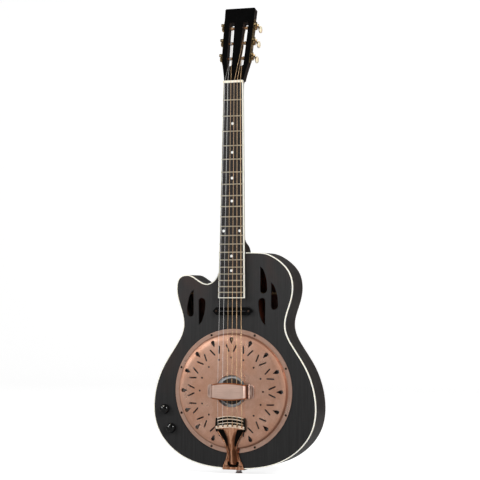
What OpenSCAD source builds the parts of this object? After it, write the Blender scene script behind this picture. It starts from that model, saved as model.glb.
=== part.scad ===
// Resonator guitar with a cutaway wooden body, a spun metal cone and a slotted head.
// +Z runs up the neck, the front faces -Y, and +X is the viewer's right.
// The origin is on the end jack's axis, where it leaves the tail of the body.

/* [Body] */
// Length of the body from the tail to the neck joint
body_length = 457; // [440:1:480]
// Widest width of the lower bout
lower_bout = 364.4; // [350:0.2:380]
// Narrowest width of the waist
waist_width = 228.2; // [215:0.2:240]
// Widest width of the upper bout
upper_bout = 264.2; // [250:0.2:280]
// Depth of the body from front to back
body_depth = 70; // [60:1:90]
// Thickness of the top plate
top_thick = 3.5; // [3:0.1:4.5]
// Thickness of the back plate
back_thick = 3; // [2.5:0.1:4]
// Thickness of the bent sides
rim_thick = 3; // [2.4:0.1:3.6]
// Width of the binding seen from the front
binding_width = 2.0; // [1.5:0.1:2.6]
// Depth of the binding down the side
binding_depth = 4.6; // [4:0.1:7]

/* [Resonator] */
// Outside radius of the cover plate
cover_radius = 131; // [128:0.5:134]
// Radius of the hole in the middle of the cover plate
cover_mouth = 33.5; // [30:0.5:36]
// Thickness of the pressed cover sheet
cover_sheet = 1; // [0.8:0.1:1.4]
// Number of kite holes around the cover plate
cover_repeats = 16; // [12:4:20]
// Radius of the spun cone
cone_radius = 119.5; // [115:0.5:120]
// Radius of the wooden biscuit on top of the cone
biscuit_radius = 27.5; // [24:0.5:29]

/* [Neck] */
// Sounding length of the open strings
scale_length = 650; // [628:1:660]
// Width of the fingerboard at the nut
nut_width = 44; // [42:0.5:48]
// Width of the fingerboard at its body end
board_end_width = 58.5; // [54:0.5:62]
// Thickness of the fingerboard
board_thick = 6; // [5:0.5:7]
// Number of frets
fret_count = 20; // [18:1:20]
// Backward tilt of the neck
neck_angle = 1.3; // [0.8:0.1:1.8]
// Depth of the neck wood under the board at the first fret
neck_depth = 15.5; // [13:0.5:18]

/* [Head] */
// Backward tilt of the head from the neck
head_angle = 13.5; // [11:0.5:16]
// Length of the head face
head_length = 167; // [160:1:175]
// Full thickness of the head with its face veneer
head_thick = 16; // [15:0.5:18]
// Distance between neighbouring rollers
roller_pitch = 35; // [34.5:0.1:35]
// Width of each head slot
slot_width = 11.7; // [11:0.1:13]
// Number of teeth on each tuner gear
gear_teeth = 14; // [13:1:15]

/* [Strings] */
// Spacing of the strings at the saddle
saddle_spacing = 10.7; // [10:0.1:11]
// Spacing of the strings at the nut
nut_spacing = 7.1; // [6.8:0.1:7.4]

/* [Hidden] */
$fn = 96;
tuners = [1:6];

// Small distances that keep touching pieces apart
gap = 0.05;
run = 0.05;
through = 1;

// Body datums
face_y = -body_depth / 2;
back_y = body_depth / 2;
lower = lower_bout / 2;
waist = waist_width / 2;
upper = upper_bout / 2;
spline_steps = 10;
lining_width = 6;
lining_height = 11;
block_half = 40;
tail_block_z = 23;
neck_block_z = 403;

// Resonator datums: heights are measured forward from the face of the top
bridge_z = 168;
cover_z = bridge_z - 3.5;
rim_height = 2;
dome_foot_radius = 119.5;
dome_foot = 9.6;
dome_shoulder_radius = 107;
dome_shoulder = 12;
dome_mouth = 15;
well_inner = 118;
well_outer = 123;
well_ledge = 110;
cone_flat = 31;
cone_top = 8;
cone_seat = 11;
cone_sheet = 0.6;
biscuit_top = 14.5;
kite_radius = 107;
slit_radius = 91;
slit_offset = 5.2;
slit_lean = 19;
dot_radius = 71;

// Controls: place on the top and sizes
volume_at = [-155.3, bridge_z - 45];
tone_at = [-140.5, bridge_z - 85];
knob_radius = 10.4;
knob_height = 14;
shaft_radius = 3;
pot_radius = 8.5;

// Jack
jack_bore = 3.25;
jack_radius = 4.6;
jack_inside = 30;

// Neck datums: the board's surface passes this far in front of the top under the bridge
board_rise = 18.65;
joint_along = 289.6;
board_end = 192.5;
nut_length = 5;
nut_rise = 2.4;
edge_inlay = 1.6;
dot_size = 3;
dot_deep = 1.2;
rod_radius = 2.9;
rod_channel = 3.05;
saddle_action = 5.4;
nut_action = 1.6;

// Head datums
veneer = 1.8;
blank_thick = head_thick - veneer;
roller_deep = 6.2;
side_taper = 1.7;
side_u = 88;
side_x = 31.9;
slot_centre = 17.2;
slot_low = -54;
slot_high = 45.5;

// Tuner sizes
plate_thick = 1.2;
plate_width = 13;
plate_low = -47;
plate_high = 54;
roller_radius = 3.2;
roller_reach = 28;
spindle_radius = 2;
gear_radius = 5;
gear_wave = 0.5;
gear_width = 3.6;
gear_out = 4.6;
worm_core = 2.1;
worm_wave = 0.6;
worm_pitch = 2 * PI * gear_radius / gear_teeth;
worm_turns = 4;
worm_offset = gear_radius + worm_core + worm_wave - gear_wave + 0.12;
worm_slices = 9 * worm_turns;
worm_shaft = 1.4;
lug_thick = 1.8;
button_from = 25;
button_length = 15.5;
button_width = 15.5;
button_thick = 6.5;

// String radii from the viewer's left to the right
string_radius = [0.16, 0.21, 0.33, 0.42, 0.53, 0.66];

// ---------------------------------------------------------------- outline

function spline_point(p, i, t) =
    (pow(1 - t, 3) * p[i]
    + (3 * t * t * t - 6 * t * t + 4) * p[i + 1]
    + (-3 * t * t * t + 3 * t * t + 3 * t + 1) * p[i + 2]
    + t * t * t * p[i + 3]) / 6;

function spline(p, steps) =
    [for (i = [0:len(p) - 4]) for (j = [0:steps - 1]) spline_point(p, i, j / steps)];

// Control points of the half outline, from the tail to the waist
half_outline = [
    [0, -0.0035 * body_length],
    [0.424 * lower, 0.0077 * body_length],
    [0.763 * lower, 0.069 * body_length],
    [0.993 * lower, 0.182 * body_length],
    [1.016 * lower, 0.3254 * body_length],
    [0.8995 * lower, 0.4783 * body_length],
    [0.962 * waist, 0.6212 * body_length]
];

// The plain shoulder, up to the flat run where the neck joins
shoulder = [
    [1.021 * waist, 0.7149 * body_length],
    [1.0174 * upper, 0.8024 * body_length],
    [0.99 * upper, 0.9184 * body_length],
    [0.635 * upper, 0.9923 * body_length],
    [60, body_length],
    [33, body_length],
    [6, body_length]
];

// The cutaway, down the side of the neck and around the horn to the waist
cutaway = [
    [-33, body_length + 25],
    [-33, body_length],
    [-33, body_length - 25],
    [-32.8, 0.888 * body_length],
    [-59, 0.841 * body_length],
    [-85.2, 0.879 * body_length],
    [-0.717 * upper, 0.894 * body_length],
    [-0.823 * upper, 0.9 * body_length],
    [-0.979 * upper, 0.886 * body_length],
    [-0.995 * upper, 0.802 * body_length],
    [-1.006 * waist, 0.715 * body_length]
];

function flipped(p) = [-p[0], p[1]];
function reversed(p) = [for (i = [len(p) - 1:-1:0]) p[i]];

outline = concat(
    spline(concat([flipped(half_outline[1])], half_outline, shoulder), spline_steps),
    [[33, body_length]],
    spline(
        concat(cutaway, [for (q = reversed(half_outline)) flipped(q)], [half_outline[1]]),
        spline_steps
    )
);

module body_outline(inset = 0) {
    if (inset == 0)
        polygon(outline);
    else
        offset(delta = -inset)
            polygon(outline);
}

// Draws its 2D child in the X-Z plane and fills it from y0 back to y1
module slab(y0, y1) {
    translate([0, y1, 0])
        rotate([90, 0, 0])
            linear_extrude(y1 - y0)
                children();
}

// Draws its 2D child, given as [y, z] points, and fills it half_width to each side
module across(half_width) {
    translate([-half_width, 0, 0])
        rotate([90, 0, 90])
            linear_extrude(2 * half_width)
                children();
}

// Turns [radius, height] profiles about the resonator's axis, height forward from the top
module turned() {
    translate([0, face_y, cover_z])
        rotate([90, 0, 0])
            rotate_extrude($fn = 128)
                children();
}

// A drill along the body's depth at [x, z]
module drill(at, radius, y0, y1) {
    translate([at[0], y1, at[1]])
        rotate([90, 0, 0])
            cylinder(r = radius, h = y1 - y0, $fn = 32);
}

// ---------------------------------------------------------------- sound holes

// A leaf with a round foot at the origin and a point at the top, bulging to +x
leaf_length = 58;
leaf_width = 14.5;
leaf_flatness = 0.44;
leaf_steps = 16;
foot_share = 0.14;
function leaf_at(i) = pow(i / leaf_steps, 1.7);
function leaf_foot(t) = t < foot_share ? sqrt(1 - pow(1 - t / foot_share, 2)) : 1;
function leaf_bulge(t) = leaf_width * 0.68 * leaf_foot(t) * sqrt(max(0, 1 - pow((t - 0.3) / 0.7, 2)));
function leaf_flat(t) = -leaf_width * leaf_flatness * leaf_foot(t);

module leaf() {
    bulge = [for (i = [0:leaf_steps]) let(t = leaf_at(i))
        [leaf_bulge(t) - leaf_flatness * leaf_width * t * t, leaf_length * t]];
    flat = [for (i = [leaf_steps - 1:-1:1]) let(t = leaf_at(i))
        [leaf_flat(t) * (1 - 0.1 * t), leaf_length * t]];
    polygon(concat(bulge, flat));
}

// Foot position and lean of each leaf; the third value flips it, the fourth turns it down
leaf_places = [
    [66, bridge_z + 202, 1, 1],
    [90, bridge_z + 168, 1, 1],
    [65, bridge_z + 193, -1, -1],
    [-96.5, bridge_z + 153, -1, 1],
    [-73, bridge_z + 193, 1, -1]
];

module leaves() {
    for (p = leaf_places)
        translate([p[0], p[1]])
            scale([p[2], p[3]])
                leaf();
}

// ---------------------------------------------------------------- body

module top() {
    color("#2e2d2d")
        difference() {
            slab(face_y, face_y + top_thick)
                difference() {
                    body_outline(binding_width);
                    leaves();
                    translate([0, cover_z])
                        circle(r = 121, $fn = 128);
                }
            for (at = [volume_at, tone_at])
                drill(at, shaft_radius + 1.5, face_y - through, face_y + top_thick + through);
            drill(wire_hole, 2, face_y - through, face_y + top_thick + through);
            screw_holes();
        }
}

module back() {
    color("#2a1a12")
        slab(back_y - back_thick, back_y)
            body_outline();
}

module rim() {
    color("#23150f")
        difference() {
            union() {
                slab(face_y + top_thick, face_y + binding_depth)
                    difference() {
                        body_outline(binding_width);
                        body_outline(rim_thick);
                    }
                slab(face_y + binding_depth, back_y - back_thick)
                    difference() {
                        body_outline();
                        body_outline(rim_thick);
                    }
            }
            jack_hole();
        }
}

module binding() {
    color("#f2ead0")
        slab(face_y, face_y + binding_depth)
            difference() {
                body_outline();
                body_outline(binding_width);
            }
}

module jack_hole() {
    translate([0, 0, -3 * through])
        cylinder(r = jack_radius + 0.1, h = 60, $fn = 48);
}

module lining_ring() {
    difference() {
        body_outline(rim_thick);
        body_outline(rim_thick + lining_width);
        blocks_shape();
    }
}

// The two end blocks seen from the front
module blocks_shape() {
    translate([-block_half, 0])
        square([2 * block_half, tail_block_z]);
    translate([-30, neck_block_z])
        square([78, body_length - neck_block_z]);
}

module linings() {
    color("#c49a6c")
        union() {
            slab(face_y + top_thick, face_y + top_thick + lining_height)
                lining_ring();
            slab(back_y - back_thick - lining_height, back_y - back_thick)
                lining_ring();
        }
}

brace_width = 5;
brace_height = 11;
back_brace_z = [bridge_z + 203, bridge_z - 3.5, bridge_z - 137];
module braces() {
    color("#d9b77e")
        difference() {
            union() {
                for (z = back_brace_z)
                    slab(back_y - back_thick - brace_height, back_y - back_thick)
                        brace_shape(z);
                slab(face_y + top_thick, face_y + top_thick + brace_height - 2)
                    brace_shape(bridge_z + 127);
            }
            turned()
                translate([0, -body_depth])
                    square([well_outer + gap, body_depth]);
        }
}

module brace_shape(z) {
    intersection() {
        body_outline(rim_thick + lining_width);
        translate([-lower, z - brace_width / 2])
            square([2 * lower, brace_width]);
    }
}

module block(low) {
    slab(face_y + top_thick, back_y - back_thick)
        intersection() {
            body_outline(rim_thick);
            blocks_shape();
            translate([-lower, low ? 0 : body_length / 2])
                square([2 * lower, body_length / 2]);
        }
}

module neck_block() {
    color("#7a4526")
        block(false);
}

module tail_block() {
    color("#7a4526")
        difference() {
            block(true);
            jack_hole();
        }
}

// ---------------------------------------------------------------- resonator

port_radius = 14;
port_count = 8;
module soundwell() {
    well_depth = body_depth - back_thick;
    color("#b98a55")
        difference() {
            turned()
                polygon([
                    [well_outer, -top_thick],
                    [well_outer, -well_depth],
                    [well_inner, -well_depth],
                    [well_inner, -cone_seat - 6],
                    [well_ledge, -cone_seat - 6],
                    [well_ledge, -cone_seat],
                    [cone_radius + 1, -cone_seat],
                    [cone_radius + 1, -top_thick]
                ]);
            for (i = [0:port_count - 1])
                translate([0, 8, cover_z])
                    rotate([0, (i + 0.5) * 360 / port_count, 0])
                        translate([0, 0, well_inner - 5])
                            cylinder(r = port_radius, h = 20, $fn = 48);
        }
}

module cone() {
    color("#c9ccd0")
        turned()
            polygon([
                [0, cone_top],
                [cone_flat, cone_top],
                [well_ledge, -cone_seat + cone_sheet],
                [cone_radius, -cone_seat + cone_sheet],
                [cone_radius, -cone_seat],
                [well_ledge - 0.5, -cone_seat],
                [cone_flat, cone_top - cone_sheet],
                [0, cone_top - cone_sheet]
            ]);
}

saddle_half = 29;
saddle_thick = 2.6;
saddle_foot = 12;
saddle_rise = 12.5;
module saddle_seat(extra) {
    translate([0, 0, cover_z])
        translate([-saddle_half - extra, face_y - biscuit_top - through, -saddle_thick / 2 - extra])
            cube([2 * (saddle_half + extra), biscuit_top - saddle_foot + through, saddle_thick + 2 * extra]);
}

module biscuit() {
    color("#1d1815")
        difference() {
            turned()
                polygon([
                    [0, cone_top],
                    [biscuit_radius, cone_top],
                    [biscuit_radius, biscuit_top - 1],
                    [biscuit_radius - 1, biscuit_top],
                    [0, biscuit_top]
                ]);
            saddle_seat(0.02);
        }
}

module saddle() {
    color("#c8a878")
        difference() {
            translate([0, face_y - saddle_foot, cover_z])
                slab_box(saddle_half, saddle_rise, saddle_thick);
            for (i = [0:5])
                neck_frame()
                    translate([string_x(i, saddle_spacing), -saddle_action - 6, -10])
                        translate([-string_radius[i] - 0.1, 0, 0])
                            cube([2 * string_radius[i] + 0.2, 6.03, 20]);
        }
}

// A bar standing forward from its origin
module slab_box(half_width, forward, height) {
    translate([-half_width, -forward, -height / 2])
        cube([2 * half_width, forward, height]);
}

// Height of the cover's outer surface along its radius
cover_profile = [
    [cover_mouth, dome_mouth - 2.2],
    [cover_mouth, dome_mouth - 0.6],
    [cover_mouth + 1, dome_mouth],
    [60, dome_mouth - 0.7],
    [85, dome_mouth - 1.6],
    [dome_shoulder_radius, dome_shoulder],
    [dome_foot_radius - 2.5, dome_foot + 0.9],
    [dome_foot_radius, dome_foot],
    [dome_foot_radius + 0.8, dome_foot - 1.6],
    [dome_foot_radius + 1.6, rim_height],
    [cover_radius - 0.6, rim_height],
    [cover_radius, rim_height - 0.6],
    [cover_radius, 0],
    [dome_foot_radius + 1.6, 0]
];
cover_inside = [
    [dome_foot_radius + 0.6, 0.4],
    [dome_foot_radius - 0.3, dome_foot - 2],
    [dome_foot_radius - 3, dome_foot - 0.5],
    [dome_shoulder_radius - 0.3, dome_shoulder - cover_sheet],
    [85, dome_mouth - 1.6 - cover_sheet],
    [60, dome_mouth - 0.7 - cover_sheet],
    [cover_mouth + 1, dome_mouth - 2.2]
];

module kite() {
    polygon([[0, -8], [4.4, 2.8], [3.2, 6], [0, 7.2], [-3.2, 6], [-4.4, 2.8]]);
}

module slit() {
    union() {
        square([3, 14], center = true);
        for (end = [-1, 1])
            translate([0, 7 * end])
                circle(r = 1.5, $fn = 16);
    }
}

module cover_holes() {
    for (i = [0:cover_repeats - 1])
        rotate(i * 360 / cover_repeats) {
            translate([0, kite_radius])
                kite();
            translate([0, dot_radius])
                circle(r = 2, $fn = 20);
            for (side = [-1, 1])
                rotate(side * slit_offset)
                    translate([0, slit_radius])
                        rotate(side * slit_lean)
                            slit();
        }
}

module cover_plate() {
    color("#c08a70")
        difference() {
            turned()
                polygon(concat(cover_profile, cover_inside));
            translate([0, 0, cover_z])
                slab(face_y - dome_mouth - through, face_y - rim_height - through)
                    cover_holes();
            screw_holes();
        }
}

rest_front = 35;
rest_sheet = 1.2;
rest_foot = 15;
rest_half = 38.5;
module hand_rest() {
    color("#c8a08a")
        intersection() {
            translate([0, face_y, cover_z - 40])
                linear_extrude(80)
                    rest_section();
            translate([0, 0, cover_z])
                slab(face_y - rest_front - through, face_y)
                    rest_shape();
        }
}

// Bent strip seen along Z, with y forward of the top as a negative number
module rest_section() {
    difference() {
        union() {
            translate([-rest_half, -rest_front])
                rest_round(rest_half * 2, rest_front - rest_foot, 5);
            translate([-54, -rest_foot - rest_sheet])
                square([108, rest_sheet]);
        }
        translate([-rest_half + rest_sheet, -rest_front + rest_sheet])
            rest_round(rest_half * 2 - 2 * rest_sheet, rest_front, 3.8);
    }
}

// A box whose two front corners are rounded
module rest_round(width, depth, radius) {
    translate([radius, radius])
        circle(r = radius, $fn = 32);
    translate([width - radius, radius])
        circle(r = radius, $fn = 32);
    translate([radius, 0])
        square([width - 2 * radius, depth]);
    translate([0, radius])
        square([width, depth - radius]);
}

// Barrel sided plate seen from the front, with rounded feet
module rest_shape() {
    side_radius = 180;
    intersection() {
        translate([0, 18.5 - side_radius])
            circle(r = side_radius, $fn = 200);
        translate([0, side_radius - 18.5])
            circle(r = side_radius, $fn = 200);
        square([2 * rest_half + 0.02, 60], center = true);
    }
    for (side = [-1, 1])
        translate([side * 44, 0])
            square([14, 29], center = true);
    for (side = [-1, 1])
        for (up = [-1, 1])
            translate([side * 51, up * 11.5])
                circle(r = 3, $fn = 24);
    for (side = [-1, 1])
        translate([side * 52.5, 0])
            square([3, 23], center = true);
}

// ---------------------------------------------------------------- tailpiece

// Front surface of the sheet, [distance forward of the top, height up from the tail]
tail_sheet = 1.6;
tail_path = [
    [19.6, 92],
    [18.4, 83],
    [16, 74],
    [14.9, 62],
    [14.2, 56],
    [12.4, 46],
    [9.2, 41],
    [3.4, 33],
    [1.8, 26],
    [1.8, -1.6]
];
tail_flange = [
    [32.4, 86],
    [31, 81.5],
    [26.6, 74.5],
    [21.6, 67],
    [16.8, 59],
    [14, 52.5],
    [13, 46],
    [12.8, 38],
    [13.4, 31],
    [15.2, 25],
    [18.6, 17],
    [22.4, 8],
    [24.4, -3]
];
spine_path = [
    [20.5, 90],
    [20.6, 80],
    [18.6, 60],
    [15.6, 46],
    [12.6, 36],
    [10.5, 22],
    [8, 13],
    [4, 9.5]
];
spine_shape = [
    [16, 90],
    [10, 71],
    [8, 58],
    [7.8, 45],
    [9, 24],
    [9, 18],
    [7, 12],
    [3.5, 9.5]
];
tail_wrap = 58;

function both_sides(p) = concat(p, [for (q = reversed(p)) flipped(q)]);

// The path and the same path moved back by the sheet's thickness, as [y, z] points
function strip(p, thick) = concat(
    [for (q = p) [face_y - q[0], q[1]]],
    [for (q = reversed(p)) [face_y - q[0] + thick, q[1]]]
);

module tailpiece() {
    color("#9a5f45")
        difference() {
            union() {
                intersection() {
                    across(40)
                        polygon(strip(tail_path, tail_sheet));
                    slab(face_y - 40, face_y)
                        polygon(both_sides(tail_flange));
                }
                intersection() {
                    across(40)
                        polygon(strip(spine_path, 5));
                    slab(face_y - 40, face_y - 0.2)
                        polygon(both_sides(spine_shape));
                }
                string_bar();
                tail_bars();
                translate([-24.4, face_y - 1.8, -1.6])
                    cube([48.8, tail_wrap, 1.55]);
            }
            jack_hole();
            for (i = [0:5])
                translate([string_x(i, saddle_spacing) - 1.1, face_y - 40, 90])
                    cube([2.2, 40 - 17.4, 12]);
        }
}

// Arched rail with its crown at z, its ends lower by the drop
module arched(z, height, drop, half_width) {
    arch_radius = (half_width * half_width + drop * drop) / (2 * drop);
    intersection() {
        translate([0, z - arch_radius])
            difference() {
                circle(r = arch_radius, $fn = 160);
                circle(r = arch_radius - height, $fn = 160);
            }
        translate([-half_width, z - 2 * drop - height])
            square([2 * half_width, 4 * drop + 2 * height]);
    }
}

tail_half = 32.4;
module string_bar() {
    slab(face_y - 22.4, face_y - 17.4)
        arched(94.5, 5.5, 4.5, tail_half);
    slab(face_y - 21, face_y - 17.4)
        translate([-tail_half, 82])
            square([2 * tail_half, 9]);
}

module tail_bars() {
    for (z = [113.5, 107.5])
        slab(face_y - 19.6, face_y - 17)
            arched(z, 3, 5, tail_half);
    for (side = [-1, 1])
        translate([side * (tail_half - 2.5), 0, 0])
            slab(face_y - 20.5, face_y - 17)
                translate([-2.5, 82])
                    square([5, 27]);
}

module strap_button() {
    color("#c4c6c8")
        difference() {
            translate([0, 0, -1.65])
                mirror([0, 0, 1])
                    rotate_extrude($fn = 64)
                        polygon([
                            [0, 0],
                            [6.8, 0],
                            [6.8, 0.8],
                            [5.6, 1.6],
                            [5.6, 7.2],
                            [7.6, 8.2],
                            [7.6, 9.4],
                            [6.6, 10],
                            [0, 10]
                        ]);
            translate([0, 0, -9])
                cylinder(r = jack_radius + 0.02, h = 13, $fn = 48);
            translate([0, 0, -20])
                cylinder(r = jack_bore, h = 30, $fn = 48);
        }
}

module output_jack() {
    color("#a9abad")
        difference() {
            union() {
                translate([0, 0, -8.9])
                    cylinder(r = jack_radius, h = jack_inside + 8.9, $fn = 48);
                translate([0, 0, tail_block_z + gap])
                    cylinder(r = 8, h = 2.4, $fn = 6);
            }
            translate([0, 0, -20])
                cylinder(r = jack_bore, h = 80, $fn = 48);
        }
}

// ---------------------------------------------------------------- neck

// The board's frame: z along the strings from the bridge line, y behind the board's surface
module neck_frame() {
    translate([0, face_y - board_rise, bridge_z])
        rotate([-neck_angle, 0, 0])
            children();
}

nut_z = scale_length;
function string_x(i, spacing) = (i - 2.5) * spacing;
function fret_z(n) = scale_length * pow(2, -n / 12);
function board_half(z) =
    nut_width / 2 + (nut_z - z) * (board_end_width - nut_width) / 2 / (nut_z - board_end);

// Board shape in the X-Z plane between two stations
module board_shape(z0, z1, inset) {
    polygon([
        [board_half(z0) - inset, z0],
        [board_half(z1) - inset, z1],
        [-board_half(z1) + inset, z1],
        [-board_half(z0) + inset, z0]
    ]);
}

module fretboard() {
    color("#1f1c1d")
        difference() {
            neck_frame()
                slab(0, board_thick)
                    board_shape(board_end + edge_inlay, nut_z, edge_inlay);
            neck_frame()
                for (n = [1:fret_count])
                    translate([-40, -through, fret_z(n) - 0.3])
                        cube([80, through + 2, 0.6]);
            neck_frame()
                dots(dot_size, -through, dot_deep);
        }
}

module board_binding() {
    color("#efe6cc")
        neck_frame()
            slab(0, board_thick)
                difference() {
                    board_shape(board_end, nut_z, 0);
                    board_shape(board_end + edge_inlay, nut_z + through, edge_inlay);
                }
}

// Each wire is a low crown on the board with a tang in its slot
module frets() {
    color("#b9b4a6")
        neck_frame()
            for (n = [1:fret_count]) {
                translate([0, 0, fret_z(n)])
                    across(board_half(fret_z(n)) - 0.4)
                        polygon([[0, -1.2], [-0.6, -1.05], [-1, -0.5], [-1, 0.5], [-0.6, 1.05], [0, 1.2]]);
                translate([0, 0, fret_z(n)])
                    across(board_half(fret_z(n)) - edge_inlay - 0.1)
                        translate([0, -0.26])
                            square([1.8, 0.52]);
            }
}

// Marker dots: frets 3, 5, 7, 9, 15 and 17 have one and fret 12 has two
single_dots = [3, 5, 7, 9, 15, 17];
dot_pair = 18;
module dots(radius, y0, y1) {
    for (n = single_dots)
        drill([0, (fret_z(n) + fret_z(n - 1)) / 2], radius, y0, y1);
    for (side = [-1, 1])
        drill([side * dot_pair, (fret_z(12) + fret_z(11)) / 2], radius, y0, y1);
}

module position_dots() {
    color("#f4f2ea")
        neck_frame()
            dots(dot_size - 0.02, 0, dot_deep);
}

module nut() {
    color("#f3ecd8")
        difference() {
            neck_frame()
                translate([-nut_width / 2, -nut_rise, nut_z])
                    cube([nut_width, nut_rise + board_thick, nut_length]);
            neck_frame()
                for (i = [0:5])
                    translate([string_x(i, nut_spacing) - string_radius[i] - 0.15, -8, nut_z - 1])
                        cube([2 * string_radius[i] + 0.3, 8 - nut_action + 0.35, nut_length + 2]);
        }
}

// Half oval cross section of the neck, flat side on the board
module neck_slice(z, half, deep, thick = 0.5) {
    translate([0, board_thick, z])
        linear_extrude(thick)
            intersection() {
                scale([half, deep])
                    circle(r = 1, $fn = 48);
                translate([-half, 0])
                    square([2 * half, deep]);
            }
}

module neck_shaft() {
    hull() {
        neck_slice(330, board_half(330), neck_depth + 3.5);
        neck_slice(632, board_half(632), neck_depth);
    }
    hull() {
        neck_slice(632, board_half(632), neck_depth);
        neck_slice(654.5, 22, neck_depth - 1);
        head_frame()
            translate([-23.5, 0, 16])
                cube([47, blank_thick, 2]);
    }
}

heel_deep = 64;
module heel() {
    hull() {
        neck_slice(330.5, board_half(330), neck_depth + 3.5);
        neck_slice(312, board_half(312), 26);
    }
    hull() {
        neck_slice(312, board_half(312), 26);
        neck_slice(300, board_half(300), 48);
        neck_slice(284, board_half(284), 48);
    }
    hull() {
        neck_slice(300, board_half(300), 48);
        neck_slice(292, board_half(292), 60);
        neck_slice(284, board_half(284), heel_deep);
    }
}

module head_frame() {
    translate([0, board_thick, nut_z + nut_length])
        rotate([-head_angle, 0, 0])
            children();
}

// One half of the head's front edge, from the nut to the top
head_edge = [
    [22, 0],
    [23, 8],
    [25.2, 20],
    [27.6, 31],
    [29.6, 40],
    [side_x - (side_u - 46) * tan(side_taper), 46],
    [side_x + (head_length - 2 - side_u) * tan(side_taper), head_length - 2],
    [side_x + (head_length - side_u) * tan(side_taper) - 2, head_length]
];

module head_shape() {
    polygon(both_sides(head_edge));
}

// The frame of one side face: the origin is level with its middle roller
module side_frame(s) {
    translate([s * side_x, 0, side_u])
        rotate([0, s * side_taper, 0])
            children();
}

module head_slots() {
    for (s = [-1, 1])
        side_frame(s)
            translate([-s * slot_centre - slot_width / 2, -10, slot_low])
                cube([slot_width, 40, slot_high - slot_low]);
}

// Sloping floors that let the strings run down into the slots
module slot_ramps() {
    for (s = [-1, 1])
        side_frame(s)
            translate([-s * slot_centre - slot_width / 2, 0, slot_low])
                rotate([90, 0, 90])
                    linear_extrude(slot_width)
                        polygon([[-4, -16], [-1.8, -14], [4.5, 0.5], [-4, 0.5]]);
}

module roller_bores() {
    for (s = [-1, 1])
        for (k = [-1:1])
            side_frame(s)
                translate([0, roller_deep, k * roller_pitch])
                    outward(s)
                        translate([0, 0, -roller_reach - 0.4])
                            cylinder(r = roller_radius + run, h = roller_reach + 5, $fn = 48);
}

module neck() {
    color("#251812")
        difference() {
            union() {
                difference() {
                    neck_frame() {
                        neck_shaft();
                        heel();
                    }
                    translate([-100, face_y - 60, body_length - 100])
                        cube([200, 200, 100]);
                }
                intersection() {
                    neck_frame()
                        slab(board_thick, 40)
                            board_shape(board_end + 1, joint_along + 2, 0.8);
                    translate([-100, face_y - 60, 300])
                        cube([200, 60, 200]);
                }
                neck_frame()
                    head_frame()
                        slab(0, blank_thick)
                            head_shape();
            }
            neck_frame() {
                translate([-rod_channel, -1, 300])
                    cube([2 * rod_channel, board_thick + 1 + 2 * rod_channel, 336]);
                head_frame() {
                    head_slots();
                    slot_ramps();
                    roller_bores();
                    tuner_screws(screw_shank + 0.05, 9, 0);
                }
            }
        }
}

module head_plate() {
    color("#0c0b0b")
        neck_frame()
            head_frame()
                difference() {
                    slab(-veneer, 0)
                        head_shape();
                    head_slots();
                    slot_ramps();
                }
}

module truss_rod() {
    color("#8c8f92")
        neck_frame()
            translate([0, board_thick + rod_channel, 302])
                cylinder(r = rod_radius, h = 332, $fn = 32);
}

// ---------------------------------------------------------------- strings

// A chain of straight runs between points
module chain(points, radius, sides = 8) {
    for (i = [0:len(points) - 2])
        hull() {
            translate(points[i])
                sphere(r = radius, $fn = sides);
            translate(points[i + 1])
                sphere(r = radius, $fn = sides);
        }
}

function unit(v) = v / norm(v);

// Ring of points around a wire, square to the direction it runs in
function wire_ring(at, direction, radius, sides) =
    let(
        deep = unit(cross([1, 0, 0], direction)),
        wide = cross(direction, deep)
    )
    [for (j = [0:sides - 1]) let(a = 360 * j / sides)
        at + radius * (cos(a) * wide + sin(a) * deep)];

// One wire bent through points that all lie roughly along Z
module bent_wire(points, radius, sides = 8) {
    last = len(points) - 1;
    runs = [for (i = [0:last - 1]) unit(points[i + 1] - points[i])];
    rings = [for (i = [0:last])
        wire_ring(points[i], unit(runs[max(i - 1, 0)] + runs[min(i, last - 1)]), radius, sides)];
    walls = [for (i = [0:last - 1]) for (j = [0:sides - 1])
        let(a = i * sides + j, b = i * sides + (j + 1) % sides)
        each [[a, b, b + sides], [a, b + sides, a + sides]]];
    caps = [[for (j = [0:sides - 1]) sides - 1 - j], [for (j = [0:sides - 1]) last * sides + j]];
    polyhedron([for (ring = rings) each ring], concat(walls, caps));
}

// Points in the board's frame
function to_neck(y, z) = [
    (y + board_rise) * cos(neck_angle) - z * sin(neck_angle),
    (y + board_rise) * sin(neck_angle) + z * cos(neck_angle)
];

// Which roller, counted up from the nut, takes each string, and on which side
string_roller = [-1, 0, 1, 1, 0, -1];
function string_side(i) = i < 3 ? -1 : 1;

// Where a string meets its roller, given in the head's frame and then in the board's
function roller_spot(i) =
    let(
        s = string_side(i),
        k = string_roller[i],
        along = k * roller_pitch,
        spot_x = s * (side_x - slot_centre * cos(side_taper) + along * sin(side_taper)),
        spot_u = side_u + along * cos(side_taper) + slot_centre * sin(side_taper),
        deep = roller_deep - roller_radius - string_radius[i] - gap
    )
    [
        spot_x,
        board_thick + deep * cos(head_angle) + spot_u * sin(head_angle),
        nut_z + nut_length - deep * sin(head_angle) + spot_u * cos(head_angle)
    ];

module strings() {
    color("#b59a6a")
        neck_frame()
            for (i = [0:5]) {
                r = string_radius[i];
                notch = to_neck(-21.4, -76);
                bridge = to_neck(-24.2, -3.5);
                bent_wire([
                    [string_x(i, saddle_spacing), notch[0], notch[1]],
                    [string_x(i, saddle_spacing), -saddle_action - r - 0.05, bridge[1]],
                    [string_x(i, nut_spacing), -nut_action - r - 0.05, nut_z + 4.5],
                    roller_spot(i)
                ], r);
            }
}

// ---------------------------------------------------------------- electrics

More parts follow.
